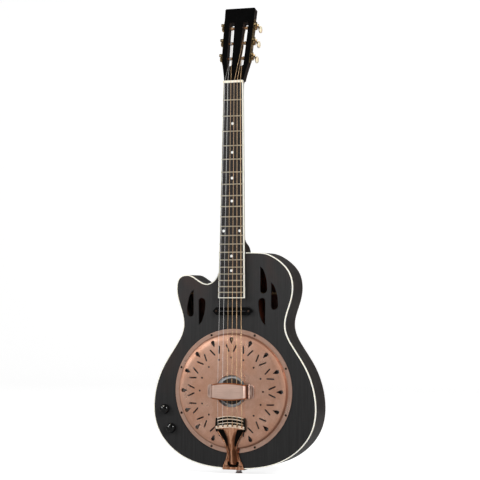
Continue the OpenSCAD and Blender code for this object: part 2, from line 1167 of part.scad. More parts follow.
pickup_z = bridge_z + 165;
pickup_half = 44;
pickup_height = 16.5;
pickup_rise = 8.5;
wire_hole = [-30, pickup_z];
module pickup() {
    color("#101010")
        difference() {
            slab(face_y - pickup_rise, face_y)
                polygon([
                    [pickup_half, pickup_z],
                    [pickup_half - 8, pickup_z + pickup_height / 2],
                    [-pickup_half + 8, pickup_z + pickup_height / 2],
                    [-pickup_half, pickup_z],
                    [-pickup_half + 8, pickup_z - pickup_height / 2],
                    [pickup_half - 8, pickup_z - pickup_height / 2]
                ]);
            translate([-30, face_y - pickup_rise - through, pickup_z - 0.6])
                cube([60, through + 0.8, 1.2]);
            screw_holes();
        }
}

module control_pots() {
    color("#8d8f90")
        for (at = [volume_at, tone_at])
            difference() {
                union() {
                    drill(at, shaft_radius + 1.4, face_y - 0.8, face_y + top_thick + 2);
                    drill(at, pot_radius, face_y + top_thick + 1.5, face_y + top_thick + 10);
                }
                drill(at, shaft_radius + run, face_y - 5, face_y + top_thick + 7);
            }
}

module control_shaft(at) {
    color("#a5a7a9")
        drill(at, shaft_radius, face_y - knob_height + 3, face_y + top_thick + 6.5);
}

module control_knob(at) {
    color("#0d0d0d")
        difference() {
            translate([at[0], face_y - 1, at[1]])
                rotate([90, 0, 0])
                    rotate_extrude($fn = 64)
                        polygon([
                            [0, 0],
                            [knob_radius, 0],
                            [knob_radius, knob_height - 6],
                            [knob_radius - 0.6, knob_height - 4],
                            [knob_radius - 2, knob_height - 2.4],
                            [knob_radius - 5, knob_height - 1.3],
                            [0, knob_height - 1]
                        ]);
            drill(at, shaft_radius + 0.02, face_y - knob_height + 2.9, face_y);
        }
}

module volume_knob() control_knob(volume_at);
module tone_knob() control_knob(tone_at);
module volume_shaft() control_shaft(volume_at);
module tone_shaft() control_shaft(tone_at);

wire_radius = 1.1;
module wiring() {
    pot_back = face_y + top_thick + 10 + wire_radius + gap;
    color("#303236")
        union() {
            chain([
                [wire_hole[0], face_y + wire_radius + 0.2, wire_hole[1]],
                [wire_hole[0], -6, wire_hole[1] - 4],
                [-106, 0, bridge_z + 104],
                [-150, -4, bridge_z + 4],
                [volume_at[0], pot_back, volume_at[1]],
                [tone_at[0], pot_back, tone_at[1]],
                [-72, 0, bridge_z - 136],
                [-14, 0, jack_inside + 4],
                [-5, 0, jack_inside + 1.3]
            ], wire_radius);
        }
}

// ---------------------------------------------------------------- screws

screw_head = 2.6;
screw_shank = 1.3;
cover_screw_radius = 127;
pickup_screw_x = 36;

// Places of the screws that enter the top: [x, z, height of the surface under the head]
top_screws = concat(
    [for (i = [0:7]) let(a = 22.5 + 45 * i)
        [cover_screw_radius * sin(a), cover_z + cover_screw_radius * cos(a), rim_height]],
    [for (s = [-1, 1]) [s * pickup_screw_x, pickup_z, pickup_rise]]
);

module screw_holes() {
    for (p = top_screws)
        drill([p[0], p[1]], screw_shank + 0.05, face_y - 20, face_y + 12);
}

// Stations of the tuner screws along the side face
tuner_screw_at = [-43.5, -17.5, 24.5, 49];

// Draws what lies along +z outward from the side face
module outward(s) {
    rotate([0, s * 90, 0])
        children();
}

module tuner_screws(radius, deep, out) {
    for (s = [-1, 1])
        for (w = tuner_screw_at)
            side_frame(s)
                translate([0, roller_deep, w])
                    outward(s)
                        translate([0, 0, -deep])
                            cylinder(r = radius, h = deep + out, $fn = 24);
}

module screw(length) {
    rotate_extrude($fn = 24)
        polygon([
            [0, 1.5],
            [1.4, 1.3],
            [screw_head - 0.3, 0.6],
            [screw_head, 0],
            [screw_shank, 0],
            [screw_shank, -length + 2],
            [0, -length]
        ]);
}

module wood_screws() {
    color("#a57a5c") {
        for (p = top_screws)
            translate([p[0], face_y - p[2] - 0.01, p[1]])
                rotate([90, 0, 0])
                    screw(p[2] + 6);
        neck_frame()
            head_frame()
                for (s = [-1, 1])
                    for (w = tuner_screw_at)
                        side_frame(s)
                            translate([0, roller_deep, w])
                                outward(s)
                                    translate([0, 0, plate_thick + 0.01])
                                        screw(9);
    }
}

// ---------------------------------------------------------------- tuners

// Tuners 1 to 3 are on the right from the nut up, and 4 to 6 on the left
function tuner_side(k) = k <= 3 ? 1 : -1;
function tuner_at(k) = ((k - 1) % 3 - 1) * roller_pitch;

// The frame of one tuner: the origin is on the side face at the roller's axis
module tuner_frame(k) {
    neck_frame()
        head_frame()
            side_frame(tuner_side(k))
                translate([0, roller_deep, tuner_at(k)])
                    children();
}

// Runs from the head's front to its back along the worm's axis
module worm_line(s, from, length, radius) {
    translate([s * gear_out, from, worm_offset])
        rotate([-90, 0, 0])
            cylinder(r = radius, h = length, $fn = 32);
}

module tuner_plate(s) {
    worm_length = worm_turns * worm_pitch;
    lug_gap = worm_length / 2 + 0.2;
    color("#8d6e48")
        neck_frame()
            head_frame()
                side_frame(s)
                    difference() {
                        union() {
                            outward(s)
                                tuner_plate_blank(s);
                            for (k = [-1:1])
                                for (end = [-1, 1])
                                    translate([
                                        s * (plate_thick + 3.2),
                                        roller_deep + end * (lug_gap + lug_thick / 2),
                                        k * roller_pitch + worm_offset
                                    ])
                                        cube([6.5, lug_thick, 6], center = true);
                        }
                        for (k = [-1:1])
                            translate([0, roller_deep, k * roller_pitch]) {
                                worm_line(s, -12, 24, worm_shaft + run);
                                outward(s)
                                    translate([0, 0, -through])
                                        cylinder(r = spindle_radius + run, h = 10, $fn = 32);
                            }
                        tuner_screw_clearance(s);
                    }
}

// Long plate with a rounded bay at each end, lying on the side face
module tuner_plate_blank(s) {
    standoff = 0.01;
    translate([0, roller_deep, standoff])
        rotate([0, 0, s > 0 ? 180 : 0])
            linear_extrude(plate_thick - standoff)
                union() {
                    translate([plate_low + 6, -plate_width / 2])
                        square([plate_high - plate_low - 12, plate_width]);
                    for (end = [plate_low + 6, plate_high - 6])
                        translate([end, 0])
                            circle(r = plate_width / 2, $fn = 40);
                }
}

module tuner_screw_clearance(s) {
    for (w = tuner_screw_at)
        translate([0, roller_deep, w])
            outward(s)
                translate([0, 0, -through])
                    cylinder(r = screw_shank + 0.05, h = 10, $fn = 24);
}

module tuner_plate_left() tuner_plate(-1);
module tuner_plate_right() tuner_plate(1);

module roller(k) {
    color("#b0704a")
        tuner_frame(k)
            outward(tuner_side(k))
                rotate_extrude($fn = 48)
                    polygon([
                        [0, -roller_reach],
                        [roller_radius, -roller_reach],
                        [roller_radius, -gap],
                        [spindle_radius, -gap],
                        [spindle_radius, gear_out + gear_width / 2],
                        [spindle_radius + 0.8, gear_out + gear_width / 2 + gap],
                        [spindle_radius + 0.8, gear_out + gear_width / 2 + 0.8],
                        [0, gear_out + gear_width / 2 + 1.2]
                    ]);
}

gear_steps = 10;
module gear(k) {
    color("#a5834f")
        tuner_frame(k)
            translate([tuner_side(k) * gear_out - gear_width / 2, 0, 0])
                rotate([90, 0, 90])
                    linear_extrude(gear_width)
                        difference() {
                            polygon([for (i = [0:gear_teeth * gear_steps - 1])
                                let(
                                    a = 360 * i / (gear_teeth * gear_steps),
                                    r = gear_radius - gear_wave * cos(gear_teeth * (a - 90))
                                )
                                [r * cos(a), r * sin(a)]]);
                            circle(r = spindle_radius + 0.02, $fn = 32);
                        }
}

module worm(k) {
    worm_length = worm_turns * worm_pitch;
    color("#96754a")
        tuner_frame(k) {
            worm_line(tuner_side(k), -roller_deep - 0.6, button_from + 9.6, worm_shaft);
            translate([tuner_side(k) * gear_out, -worm_length / 2, worm_offset])
                rotate([-90, 0, 0])
                    linear_extrude(worm_length, twist = -360 * worm_turns, slices = worm_slices, $fn = 12)
                        rotate(90)
                            translate([worm_wave, 0])
                                circle(r = worm_core, $fn = 12);
        }
}

module button(k) {
    color("#f3e3c6")
        tuner_frame(k)
            translate([tuner_side(k) * gear_out, 0, worm_offset])
                difference() {
                    union() {
                        rotate([90, 0, 90])
                            translate([button_from - roller_deep + button_length / 2, 0, -button_thick / 2])
                                linear_extrude(button_thick)
                                    scale([button_length / 2, button_width / 2])
                                        circle(r = 1, $fn = 48);
                        translate([0, button_from - roller_deep - 2, 0])
                            rotate([-90, 0, 0])
                                cylinder(r = 2.6, h = 5, $fn = 32);
                    }
                    rotate([-90, 0, 0])
                        cylinder(r = worm_shaft + 0.01, h = button_from + 4.2, $fn = 32);
                }
}

// ---------------------------------------------------------------- drawing

top();
back();
rim();
binding();
linings();
braces();
neck_block();
tail_block();
soundwell();
cone();
biscuit();
saddle();
cover_plate();
hand_rest();
tailpiece();
strap_button();
output_jack();
neck();
head_plate();
fretboard();
board_binding();
frets();
position_dots();
nut();
truss_rod();
strings();
pickup();
control_pots();
wiring();
wood_screws();
tuner_plate_left();
tuner_plate_right();
volume_knob();
volume_shaft();
tone_knob();
tone_shaft();
for (k = tuners) {
    button(k);
    worm(k);
    gear(k);
    roller(k);
}
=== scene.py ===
"""The resonator guitar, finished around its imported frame.

Sizes are millimetres in the frame's own axes: X to the viewer's right, Y to the back, Z up, with the
origin on the end jack's axis at the tail. Heights are measured forward from the face of the top.
"""

from math import cos, hypot, pi, radians, sin, sqrt

import bmesh
import bpy
from mathutils import Matrix, Vector
from mathutils.geometry import delaunay_2d_cdt


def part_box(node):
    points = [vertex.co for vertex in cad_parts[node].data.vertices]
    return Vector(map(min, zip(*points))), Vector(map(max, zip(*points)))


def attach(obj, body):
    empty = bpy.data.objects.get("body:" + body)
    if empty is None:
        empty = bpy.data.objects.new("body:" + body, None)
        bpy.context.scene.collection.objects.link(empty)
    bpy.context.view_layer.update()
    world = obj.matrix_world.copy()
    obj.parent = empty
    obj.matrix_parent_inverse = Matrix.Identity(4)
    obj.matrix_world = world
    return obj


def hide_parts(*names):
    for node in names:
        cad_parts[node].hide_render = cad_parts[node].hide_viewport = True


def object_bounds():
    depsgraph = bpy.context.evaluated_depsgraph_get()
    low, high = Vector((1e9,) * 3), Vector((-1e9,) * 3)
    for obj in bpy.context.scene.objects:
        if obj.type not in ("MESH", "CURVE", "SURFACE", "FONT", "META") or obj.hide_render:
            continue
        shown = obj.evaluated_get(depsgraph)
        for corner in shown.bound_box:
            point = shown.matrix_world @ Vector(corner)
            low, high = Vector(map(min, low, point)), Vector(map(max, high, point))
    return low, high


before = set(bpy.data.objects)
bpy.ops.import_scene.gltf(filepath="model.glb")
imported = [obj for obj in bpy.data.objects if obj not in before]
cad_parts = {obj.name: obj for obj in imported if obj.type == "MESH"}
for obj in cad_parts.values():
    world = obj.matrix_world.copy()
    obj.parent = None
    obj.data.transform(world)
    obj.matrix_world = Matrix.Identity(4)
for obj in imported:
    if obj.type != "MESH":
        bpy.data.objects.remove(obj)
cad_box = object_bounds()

MM = 0.001

# ---------------------------------------------------------------- datums read from the frame


def low(node):
    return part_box(node)[0] / MM


def high(node):
    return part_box(node)[1] / MM


FACE_Y = low("top").y
BACK_Y = high("back").y
BODY_TOP_Z = high("back").z
COVER_Z = (low("cover_plate").z + high("cover_plate").z) / 2
COVER_RADIUS = high("cover_plate").x
BRIDGE_Z = COVER_Z + 3.5

# The neck and the head lean back by these angles
NECK_ANGLE = 1.3
BOARD_RISE = 18.65
BOARD_THICK = 6
BOARD_WIDTH = 58.5
BOARD_END = 192.5
NUT_WIDTH = 44
NUT_Z = 650
NUT_LENGTH = 5
HEAD_ANGLE = 13.5
HEAD_LENGTH = 167
HEAD_WOOD = 14.2
SIDE_X = 31.9
SIDE_U = 88
SIDE_TAPER = 1.7
SLOT_CENTRE = 17.2
SLOT_WIDTH = 11.7
SLOT_LOW = -54
SLOT_HIGH = 45.5

# Tuners
ROLLER_DEEP = 6.2
ROLLER_RADIUS = 3.2
ROLLER_PITCH = 35
GEAR_OUT = 4.6
WORM_OFFSET = 7.32
WORM_PITCH = 2.244

# Strings, from the viewer's left to the right
STRING_RADIUS = [0.26, 0.28, 0.36, 0.42, 0.49, 0.56]
PLAIN_STRINGS = 2
SADDLE_SPACING = 10.7
NUT_SPACING = 7.1
SADDLE_ACTION = 5.4
NUT_ACTION = 1.6
STRING_ROLLER = [-1, 0, 1, 1, 0, -1]


def shift(x, y, z):
    return Matrix.Translation((x, y, z))


def turn(degrees, axis):
    return Matrix.Rotation(radians(degrees), 4, axis)


NECK_FRAME = shift(0, FACE_Y - BOARD_RISE, BRIDGE_Z) @ turn(-NECK_ANGLE, "X")
HEAD_FRAME = NECK_FRAME @ shift(0, BOARD_THICK, NUT_Z + NUT_LENGTH) @ turn(-HEAD_ANGLE, "X")


def side_frame(s):
    return HEAD_FRAME @ shift(s * SIDE_X, 0, SIDE_U) @ turn(s * SIDE_TAPER, "Y")


def tuner_side(k):
    return 1 if k <= 3 else -1


def tuner_frame(k):
    return side_frame(tuner_side(k)) @ shift(0, ROLLER_DEEP, ((k - 1) % 3 - 1) * ROLLER_PITCH)


def forward_from(x, z):
    """A frame on the top at x, z whose +Z points forward."""
    return shift(x, FACE_Y, z) @ turn(90, "X")


TOP_FRAME = forward_from(0, 0)
COVER_FRAME = forward_from(0, COVER_Z)

# ---------------------------------------------------------------- materials


def feed(tree, socket, value):
    """Links a socket to another node's output, or sets its plain value."""
    if isinstance(value, bpy.types.NodeSocket):
        tree.links.new(value, socket)
    elif isinstance(value, (tuple, list)) and len(value) == 3 and socket.type == "RGBA":
        socket.default_value = (*value, 1)
    else:
        socket.default_value = value


def add_node(tree, kind, inputs=None, **settings):
    made = tree.nodes.new(kind)
    for key, value in settings.items():
        setattr(made, key, value)
    for key, value in (inputs or {}).items():
        feed(tree, made.inputs[key], value)
    return made


class Paint:
    """A procedural material put together from nodes, with coordinates in metres of the shared frame."""

    def __init__(self, name, **settings):
        self.material = bpy.data.materials.new(name)
        self.material.use_nodes = True
        self.tree = self.material.node_tree
        self.shader = self.tree.nodes["Principled BSDF"]
        self.place = self.node("ShaderNodeTexCoord").outputs["Object"]
        self.set(**settings)

    def node(self, kind, inputs=None, **settings):
        return add_node(self.tree, kind, inputs, **settings)

    def set(self, **settings):
        for key, value in settings.items():
            feed(self.tree, self.shader.inputs[key.replace("_", " ")], value)

    def noise(self, vector, detail=4.0, roughness=0.55, distortion=0.0):
        inputs = {"Vector": vector, "Scale": 1.0, "Detail": detail, "Roughness": roughness,
                  "Distortion": distortion}
        return self.node("ShaderNodeTexNoise", inputs).outputs["Fac"]

    def grain(self, scale, detail=4.0, roughness=0.55, distortion=0.0):
        """Noise at one scale, or stretched by a scale for each axis."""
        scale = tuple(scale) if isinstance(scale, (tuple, list)) else (scale, scale, scale)
        mapping = self.node("ShaderNodeMapping", {"Vector": self.place, "Scale": scale})
        return self.noise(mapping.outputs["Vector"], detail, roughness, distortion)

    def span(self, value, low_in, high_in, low_out=0.0, high_out=1.0):
        inputs = {0: value, 1: low_in, 2: high_in, 3: low_out, 4: high_out}
        made = self.node("ShaderNodeMapRange", inputs, interpolation_type="SMOOTHSTEP")
        return made.outputs[0]

    def mix(self, share, first, second):
        return self.node("ShaderNodeMix", {0: share, 6: first, 7: second}, data_type="RGBA").outputs[2]

    def maths(self, operation, first, second=0.0):
        return self.node("ShaderNodeMath", {0: first, 1: second}, operation=operation).outputs[0]

    def times(self, first, second):
        return self.maths("MULTIPLY", first, second)

    def axis(self, letter, vector=None):
        """One coordinate of a vector, or of the shaded point's own place."""
        return self.node("ShaderNodeSeparateXYZ", {0: vector or self.place}).outputs[letter]

    def facing(self, letter):
        """How squarely the surface faces along an axis, from 0 to 1."""
        return self.maths("ABSOLUTE", self.axis(letter, self.node("ShaderNodeNewGeometry").outputs["Normal"]))

    def marked(self):
        """The value stored on the piece for its darker edges and painted shade."""
        return self.node("ShaderNodeAttribute", attribute_name="edge").outputs["Fac"]

    def finished(self, colour, roughness, height, distance, strength):
        """The material, with its colour, its roughness and a small relief."""
        inputs = {"Height": height, "Distance": distance, "Strength": strength}
        self.set(Base_Color=colour, Roughness=roughness, Normal=self.node("ShaderNodeBump", inputs).outputs["Normal"])
        return self.material

    def shelter(self, distance):
        """How enclosed a point is: 0 in the open and 1 deep in a corner."""
        made = self.node("ShaderNodeAmbientOcclusion", {"Distance": distance}, samples=6)
        return self.maths("SUBTRACT", 1.0, made.outputs["AO"])

    def around_cover(self):
        """Distance from the resonator's axis in metres, and the angle about it in radians."""
        offset = self.node("ShaderNodeVectorMath", {0: self.place, 1: (0, 0, COVER_Z * MM)}, operation="SUBTRACT")
        x, z = self.axis("X", offset.outputs[0]), self.axis("Z", offset.outputs[0])
        squares = self.maths("ADD", self.times(x, x), self.times(z, z))
        return self.maths("SQRT", squares), self.maths("ARCTAN2", z, x)

    def vector(self, x, y):
        return self.node("ShaderNodeCombineXYZ", {0: x, 1: y}).outputs[0]


def darker(colour, share):
    return tuple(share * c for c in colour)


def wood(name, dark, light, along=(260, 260, 11), roughness=0.5, pores=0.35, coat=0.0, shine=0.45):
    """Grain stretched along one axis, with cloudy tone and fine open pores."""
    paint = Paint(name, Specular_IOR_Level=shine, Coat_Weight=coat, Coat_Roughness=0.12)
    grain = paint.grain(along, detail=6, roughness=0.62, distortion=0.6)
    fine = paint.grain([8 * a for a in along], detail=2)
    cloud = paint.grain(18, detail=3)
    tone = paint.mix(paint.span(grain, 0.32, 0.7), dark, light)
    tone = paint.mix(paint.span(cloud, 0.3, 0.75, 0.0, 0.45), tone, dark)
    pore = paint.span(fine, 0.56, 0.7)
    shade = paint.mix(paint.times(pore, pores), tone, darker(dark, 0.35))
    rough = paint.span(grain, 0.3, 0.7, roughness + 0.06, roughness - 0.05)
    height = paint.maths("SUBTRACT", grain, paint.times(pore, 0.8))
    return paint.finished(shade, rough, height, 0.00012, 0.35)


def metal(name, light, dark, roughness=0.25, patina_and_shade=0.6, scale=160, shelter=0.003, metallic=1.0):
    """Cast or plated metal: cloudy tone, darker in the recesses (patina, and painted shade) and fine pitting."""
    paint = Paint(name, Metallic=metallic)
    cloud = paint.grain(scale, detail=6, roughness=0.6)
    pits = paint.grain(14 * scale, detail=2)
    tone = paint.mix(paint.span(cloud, 0.3, 0.72), dark, light)
    # Darker where the surface is enclosed: patina on the aged metals, painted shade on the bright ones.
    patina_and_shade_mask = paint.span(paint.shelter(shelter), 0.25, 0.9, 0.0, patina_and_shade)
    tone = paint.mix(patina_and_shade_mask, tone, darker(dark, 0.08))
    rough = paint.maths("ADD", paint.span(cloud, 0.25, 0.75, roughness + 0.12, roughness),
                        paint.times(patina_and_shade_mask, 0.35))
    return paint.finished(tone, rough, pits, 0.00006, 0.3)


def plastic(name, colour, shade, roughness=0.3, scale=60, glow=0.0, coat=0.0, shine=0.5):
    """Moulded plastic, bone or pearl: two close tones in soft clouds under a light polish."""
    paint = Paint(name, Specular_IOR_Level=shine, Coat_Weight=coat, Coat_Roughness=0.06)
    cloud = paint.grain(scale, detail=5, roughness=0.6, distortion=1.2)
    fine = paint.grain(3000, detail=2)
    if glow:
        paint.set(Subsurface_Weight=glow, Subsurface_Radius=(0.004, 0.003, 0.0018), Subsurface_Scale=1.0)
    tone = paint.mix(paint.span(cloud, 0.3, 0.7), colour, shade)
    return paint.finished(tone, paint.span(cloud, 0.3, 0.7, roughness, roughness + 0.1), fine, 0.00003, 0.2)


def top_stain():
    """Black stain over open grain, thinner and browner towards the lower left edge."""
    paint = Paint("black_stain", Specular_IOR_Level=0.42)
    grain = paint.grain((420, 200, 9), detail=7, roughness=0.65, distortion=0.4)
    fibre = paint.grain((2600, 600, 60), detail=3)
    cloud = paint.grain((7, 7, 5), detail=3)
    tone = paint.mix(paint.span(grain, 0.34, 0.7), (0.0105, 0.0102, 0.0104), (0.019, 0.0185, 0.0186))
    x, z = paint.axis("X"), paint.axis("Z")
    edge = paint.maths("MAXIMUM", paint.span(x, -0.09, -0.19), paint.span(z, 0.30, 0.42))
    worn = paint.times(edge, paint.span(cloud, 0.5, 0.68))
    tone = paint.mix(paint.times(worn, 0.5), tone, (0.050, 0.022, 0.016))
    # Specular level falls towards the bottom of the body: painted shade, darkening the lower part of the top as the
    # light falls off.
    paint.set(Specular_IOR_Level=paint.span(z, 0.0, 0.42, 0.26, 0.44))
    height = paint.maths("ADD", grain, paint.times(fibre, 0.4))
    return paint.finished(tone, paint.span(grain, 0.3, 0.7, 0.43, 0.38), height, 0.00006, 0.3)


def side_stain(name, dark, light, rough=0.34, bare_inside=False):
    """Dark lacquered grain running around the body; bare_inside leaves the back's inner face raw."""
    paint = Paint(name, Specular_IOR_Level=0.26, Coat_Weight=0.12, Coat_Roughness=0.15)
    grain = paint.grain((14, 480, 14), detail=6, roughness=0.6, distortion=0.5)
    cloud = paint.grain((20, 30, 20), detail=3)
    tone = paint.mix(paint.span(grain, 0.33, 0.7), dark, light)
    tone = paint.mix(paint.span(cloud, 0.35, 0.75, 0.0, 0.5), tone, dark)
    inner = paint.span(paint.axis("Y"), (BACK_Y - 2.2) * MM, (BACK_Y - 2.5) * MM) if bare_inside else 0.0
    tone = paint.mix(inner, tone, paint.mix(paint.span(grain, 0.3, 0.7), (0.08, 0.020, 0.010), (0.16, 0.044, 0.023)))
    return paint.finished(tone, paint.span(grain, 0.3, 0.7, rough + 0.08, rough), grain, 0.00008, 0.25)


def spun(name, light, dark, lines, roughness, cloud_scale=28, depth=0.00004, patina_and_shade=0.5, step_radius=0,
         metallic=1.0):
    """Metal polished in circles about the resonator's axis, with painted shade: a dark band at the step at a radius,
    or a painted shadow under the slits; with a step, sloping faces are painted darker too.
    """
    paint = Paint(name, Metallic=metallic)
    radius, angle = paint.around_cover()
    swirl = paint.noise(paint.vector(paint.times(radius, lines), paint.times(angle, 2.5)),
                        detail=5, roughness=0.7)
    cross = paint.noise(paint.vector(paint.times(radius, 60), paint.times(angle, 40)),
                        detail=4, roughness=0.7)
    cloud = paint.grain(cloud_scale, detail=5, roughness=0.6)
    tone = paint.mix(paint.span(cloud, 0.28, 0.72), dark, light)
    tone = paint.mix(paint.span(swirl, 0.35, 0.75, 0.0, 0.28), tone, darker(dark, 0.62))
    tone = paint.mix(paint.span(cross, 0.45, 0.75, 0.0, 0.18), tone, tuple(min(1, 1.18 * c) for c in light))
    # Darker where enclosed: patina, and painted shade.
    patina_and_shade_mask = paint.span(paint.shelter(0.0035), 0.3, 0.95, 0.0, patina_and_shade)
    # Painted shade: a dark band at the cover's step, or a painted shadow on the cone under the cover's slits.
    if step_radius:
        near, far, painted_shade = (step_radius - 3.0, step_radius), (step_radius + 2.6, step_radius + 1.2), 0.8
    else:
        near, far, painted_shade = (34, 38), (106, 101), 0.97
    inside = paint.span(radius, near[0] * MM, near[1] * MM)
    outside = paint.span(radius, far[0] * MM, far[1] * MM)
    patina_and_shade_mask = paint.maths("MAXIMUM", patina_and_shade_mask, paint.times(paint.times(inside, outside), painted_shade))
    tone = paint.mix(patina_and_shade_mask, tone, darker(dark, 0.12))
    # Sloping faces painted darker as shade, dimming their highlights.
    slope_shade = paint.span(paint.facing("Y"), 0.997, 0.965, 0.0, 1.0 if step_radius else 0.0)
    tone = paint.mix(paint.times(slope_shade, 0.8), tone, darker(dark, 0.6))
    if step_radius:
        flange = paint.span(radius, (step_radius + 1) * MM, (step_radius + 3) * MM, 0.0, 0.3)
        tone = paint.mix(flange, tone, (0.52, 0.43, 0.39))
    rough = paint.span(cloud, 0.25, 0.75, roughness + 0.08, roughness - 0.04)
    return paint.finished(tone, paint.maths("ADD", rough, paint.times(slope_shade, 0.3)), swirl, depth, 0.5)


def cast(name, light, dark, roughness=0.2):
    """Hand-polished casting: long lighter streaks painted on as highlights, near-black in the marked pockets (painted
    shade, with patina on the lower flange) and darker copper painted as shade on faces turned sideways.
    """
    paint = Paint(name, Metallic=1.0)
    # Long streaks of lighter and darker tone, painted on as highlight streaks.
    streak = paint.grain((240, 240, 14), detail=4)
    cloud = paint.grain(60, detail=5)
    # Marked pockets are painted near-black as shade.
    pocket = paint.span(paint.marked(), 0.3, 0.75)
    tone = paint.mix(paint.span(streak, 0.36, 0.66), dark, light)
    tone = paint.mix(paint.span(cloud, 0.45, 0.75, 0.0, 0.5), tone, dark)
    # Faces turned sideways are painted darker copper as shade, hiding their glints.
    wall_shade = paint.span(paint.facing("X"), 0.3, 0.62)
    tone = paint.mix(wall_shade, tone, (0.15, 0.058, 0.028))
    tone = paint.mix(pocket, tone, (0.007, 0.006, 0.005))
    pocket = paint.maths("MAXIMUM", pocket, wall_shade)
    return paint.finished(tone, paint.maths("ADD", paint.times(pocket, 0.3), roughness), streak, 0.00015, 0.4)


def brushed(name, light, dark, along, roughness=0.3, patina_and_shade=0.5):
    """Sheet metal brushed in straight lines: darker orange-brown toward the marked edges, near-black painted shade on
    the marked walls, and darker recesses (patina, and painted shade).
    """
    paint = Paint(name, Metallic=1.0)
    lines = paint.grain(along, detail=5, roughness=0.7)
    cloud = paint.grain(40, detail=4)
    edge = paint.marked()
    tone = paint.mix(paint.span(lines, 0.3, 0.72), dark, light)
    # Marks up to 0.9 darken toward orange-brown along the edges; marks above 1.1 paint the side walls near-black as
    # shade.
    tone = paint.mix(paint.span(edge, 0.15, 0.9), tone, (0.34, 0.11, 0.042))
    tone = paint.mix(paint.span(edge, 1.1, 1.8), tone, (0.045, 0.016, 0.009))
    patina_and_shade_mask = paint.span(paint.shelter(0.004), 0.35, 0.95, 0.0, patina_and_shade)
    tone = paint.mix(patina_and_shade_mask, tone, darker(dark, 0.1))
    rough = paint.span(cloud, 0.3, 0.7, roughness, roughness + 0.12)
    return paint.finished(tone, rough, lines, 0.00004, 0.5)


def wound(name, light, dark, turns):
    """Wire wrapped closely around a core: fine rings along the string."""
    paint = Paint(name, Metallic=0.6)
    rings = paint.maths("SINE", paint.times(paint.axis("Z"), 2 * pi * turns))
    cloud = paint.grain((200, 200, 40), detail=4)
    tone = paint.mix(paint.span(rings, -1.0, 0.2), darker(dark, 0.35), light)
    tone = paint.mix(paint.span(cloud, 0.35, 0.7, 0.0, 0.6), tone, dark)
    return paint.finished(tone, paint.span(cloud, 0.3, 0.7, 0.3, 0.42), rings, 0.00008, 0.6)


def plywood(name):
    """Edge-on veneers: layers about the resonator's axis in alternating tones."""
    paint = Paint(name, Specular_IOR_Level=0.3)
    grain = paint.grain((60, 700, 60), detail=5, roughness=0.6)
    radius, _ = paint.around_cover()
    layers = paint.maths("SINE", paint.times(radius, 2 * pi / 0.0025))
    tone = paint.mix(paint.span(grain, 0.3, 0.7), (0.36, 0.215, 0.115), (0.53, 0.36, 0.21))
    tone = paint.mix(paint.span(layers, -0.2, 0.2, 0.0, 0.45), tone, (0.25, 0.13, 0.065))
    return paint.finished(tone, 0.7, grain, 0.0001, 0.3)


COPPER = dict(light=(0.86, 0.525, 0.39), dark=(0.66, 0.355, 0.24))
BRASS = dict(light=(0.88, 0.64, 0.33), dark=(0.045, 0.028, 0.014))

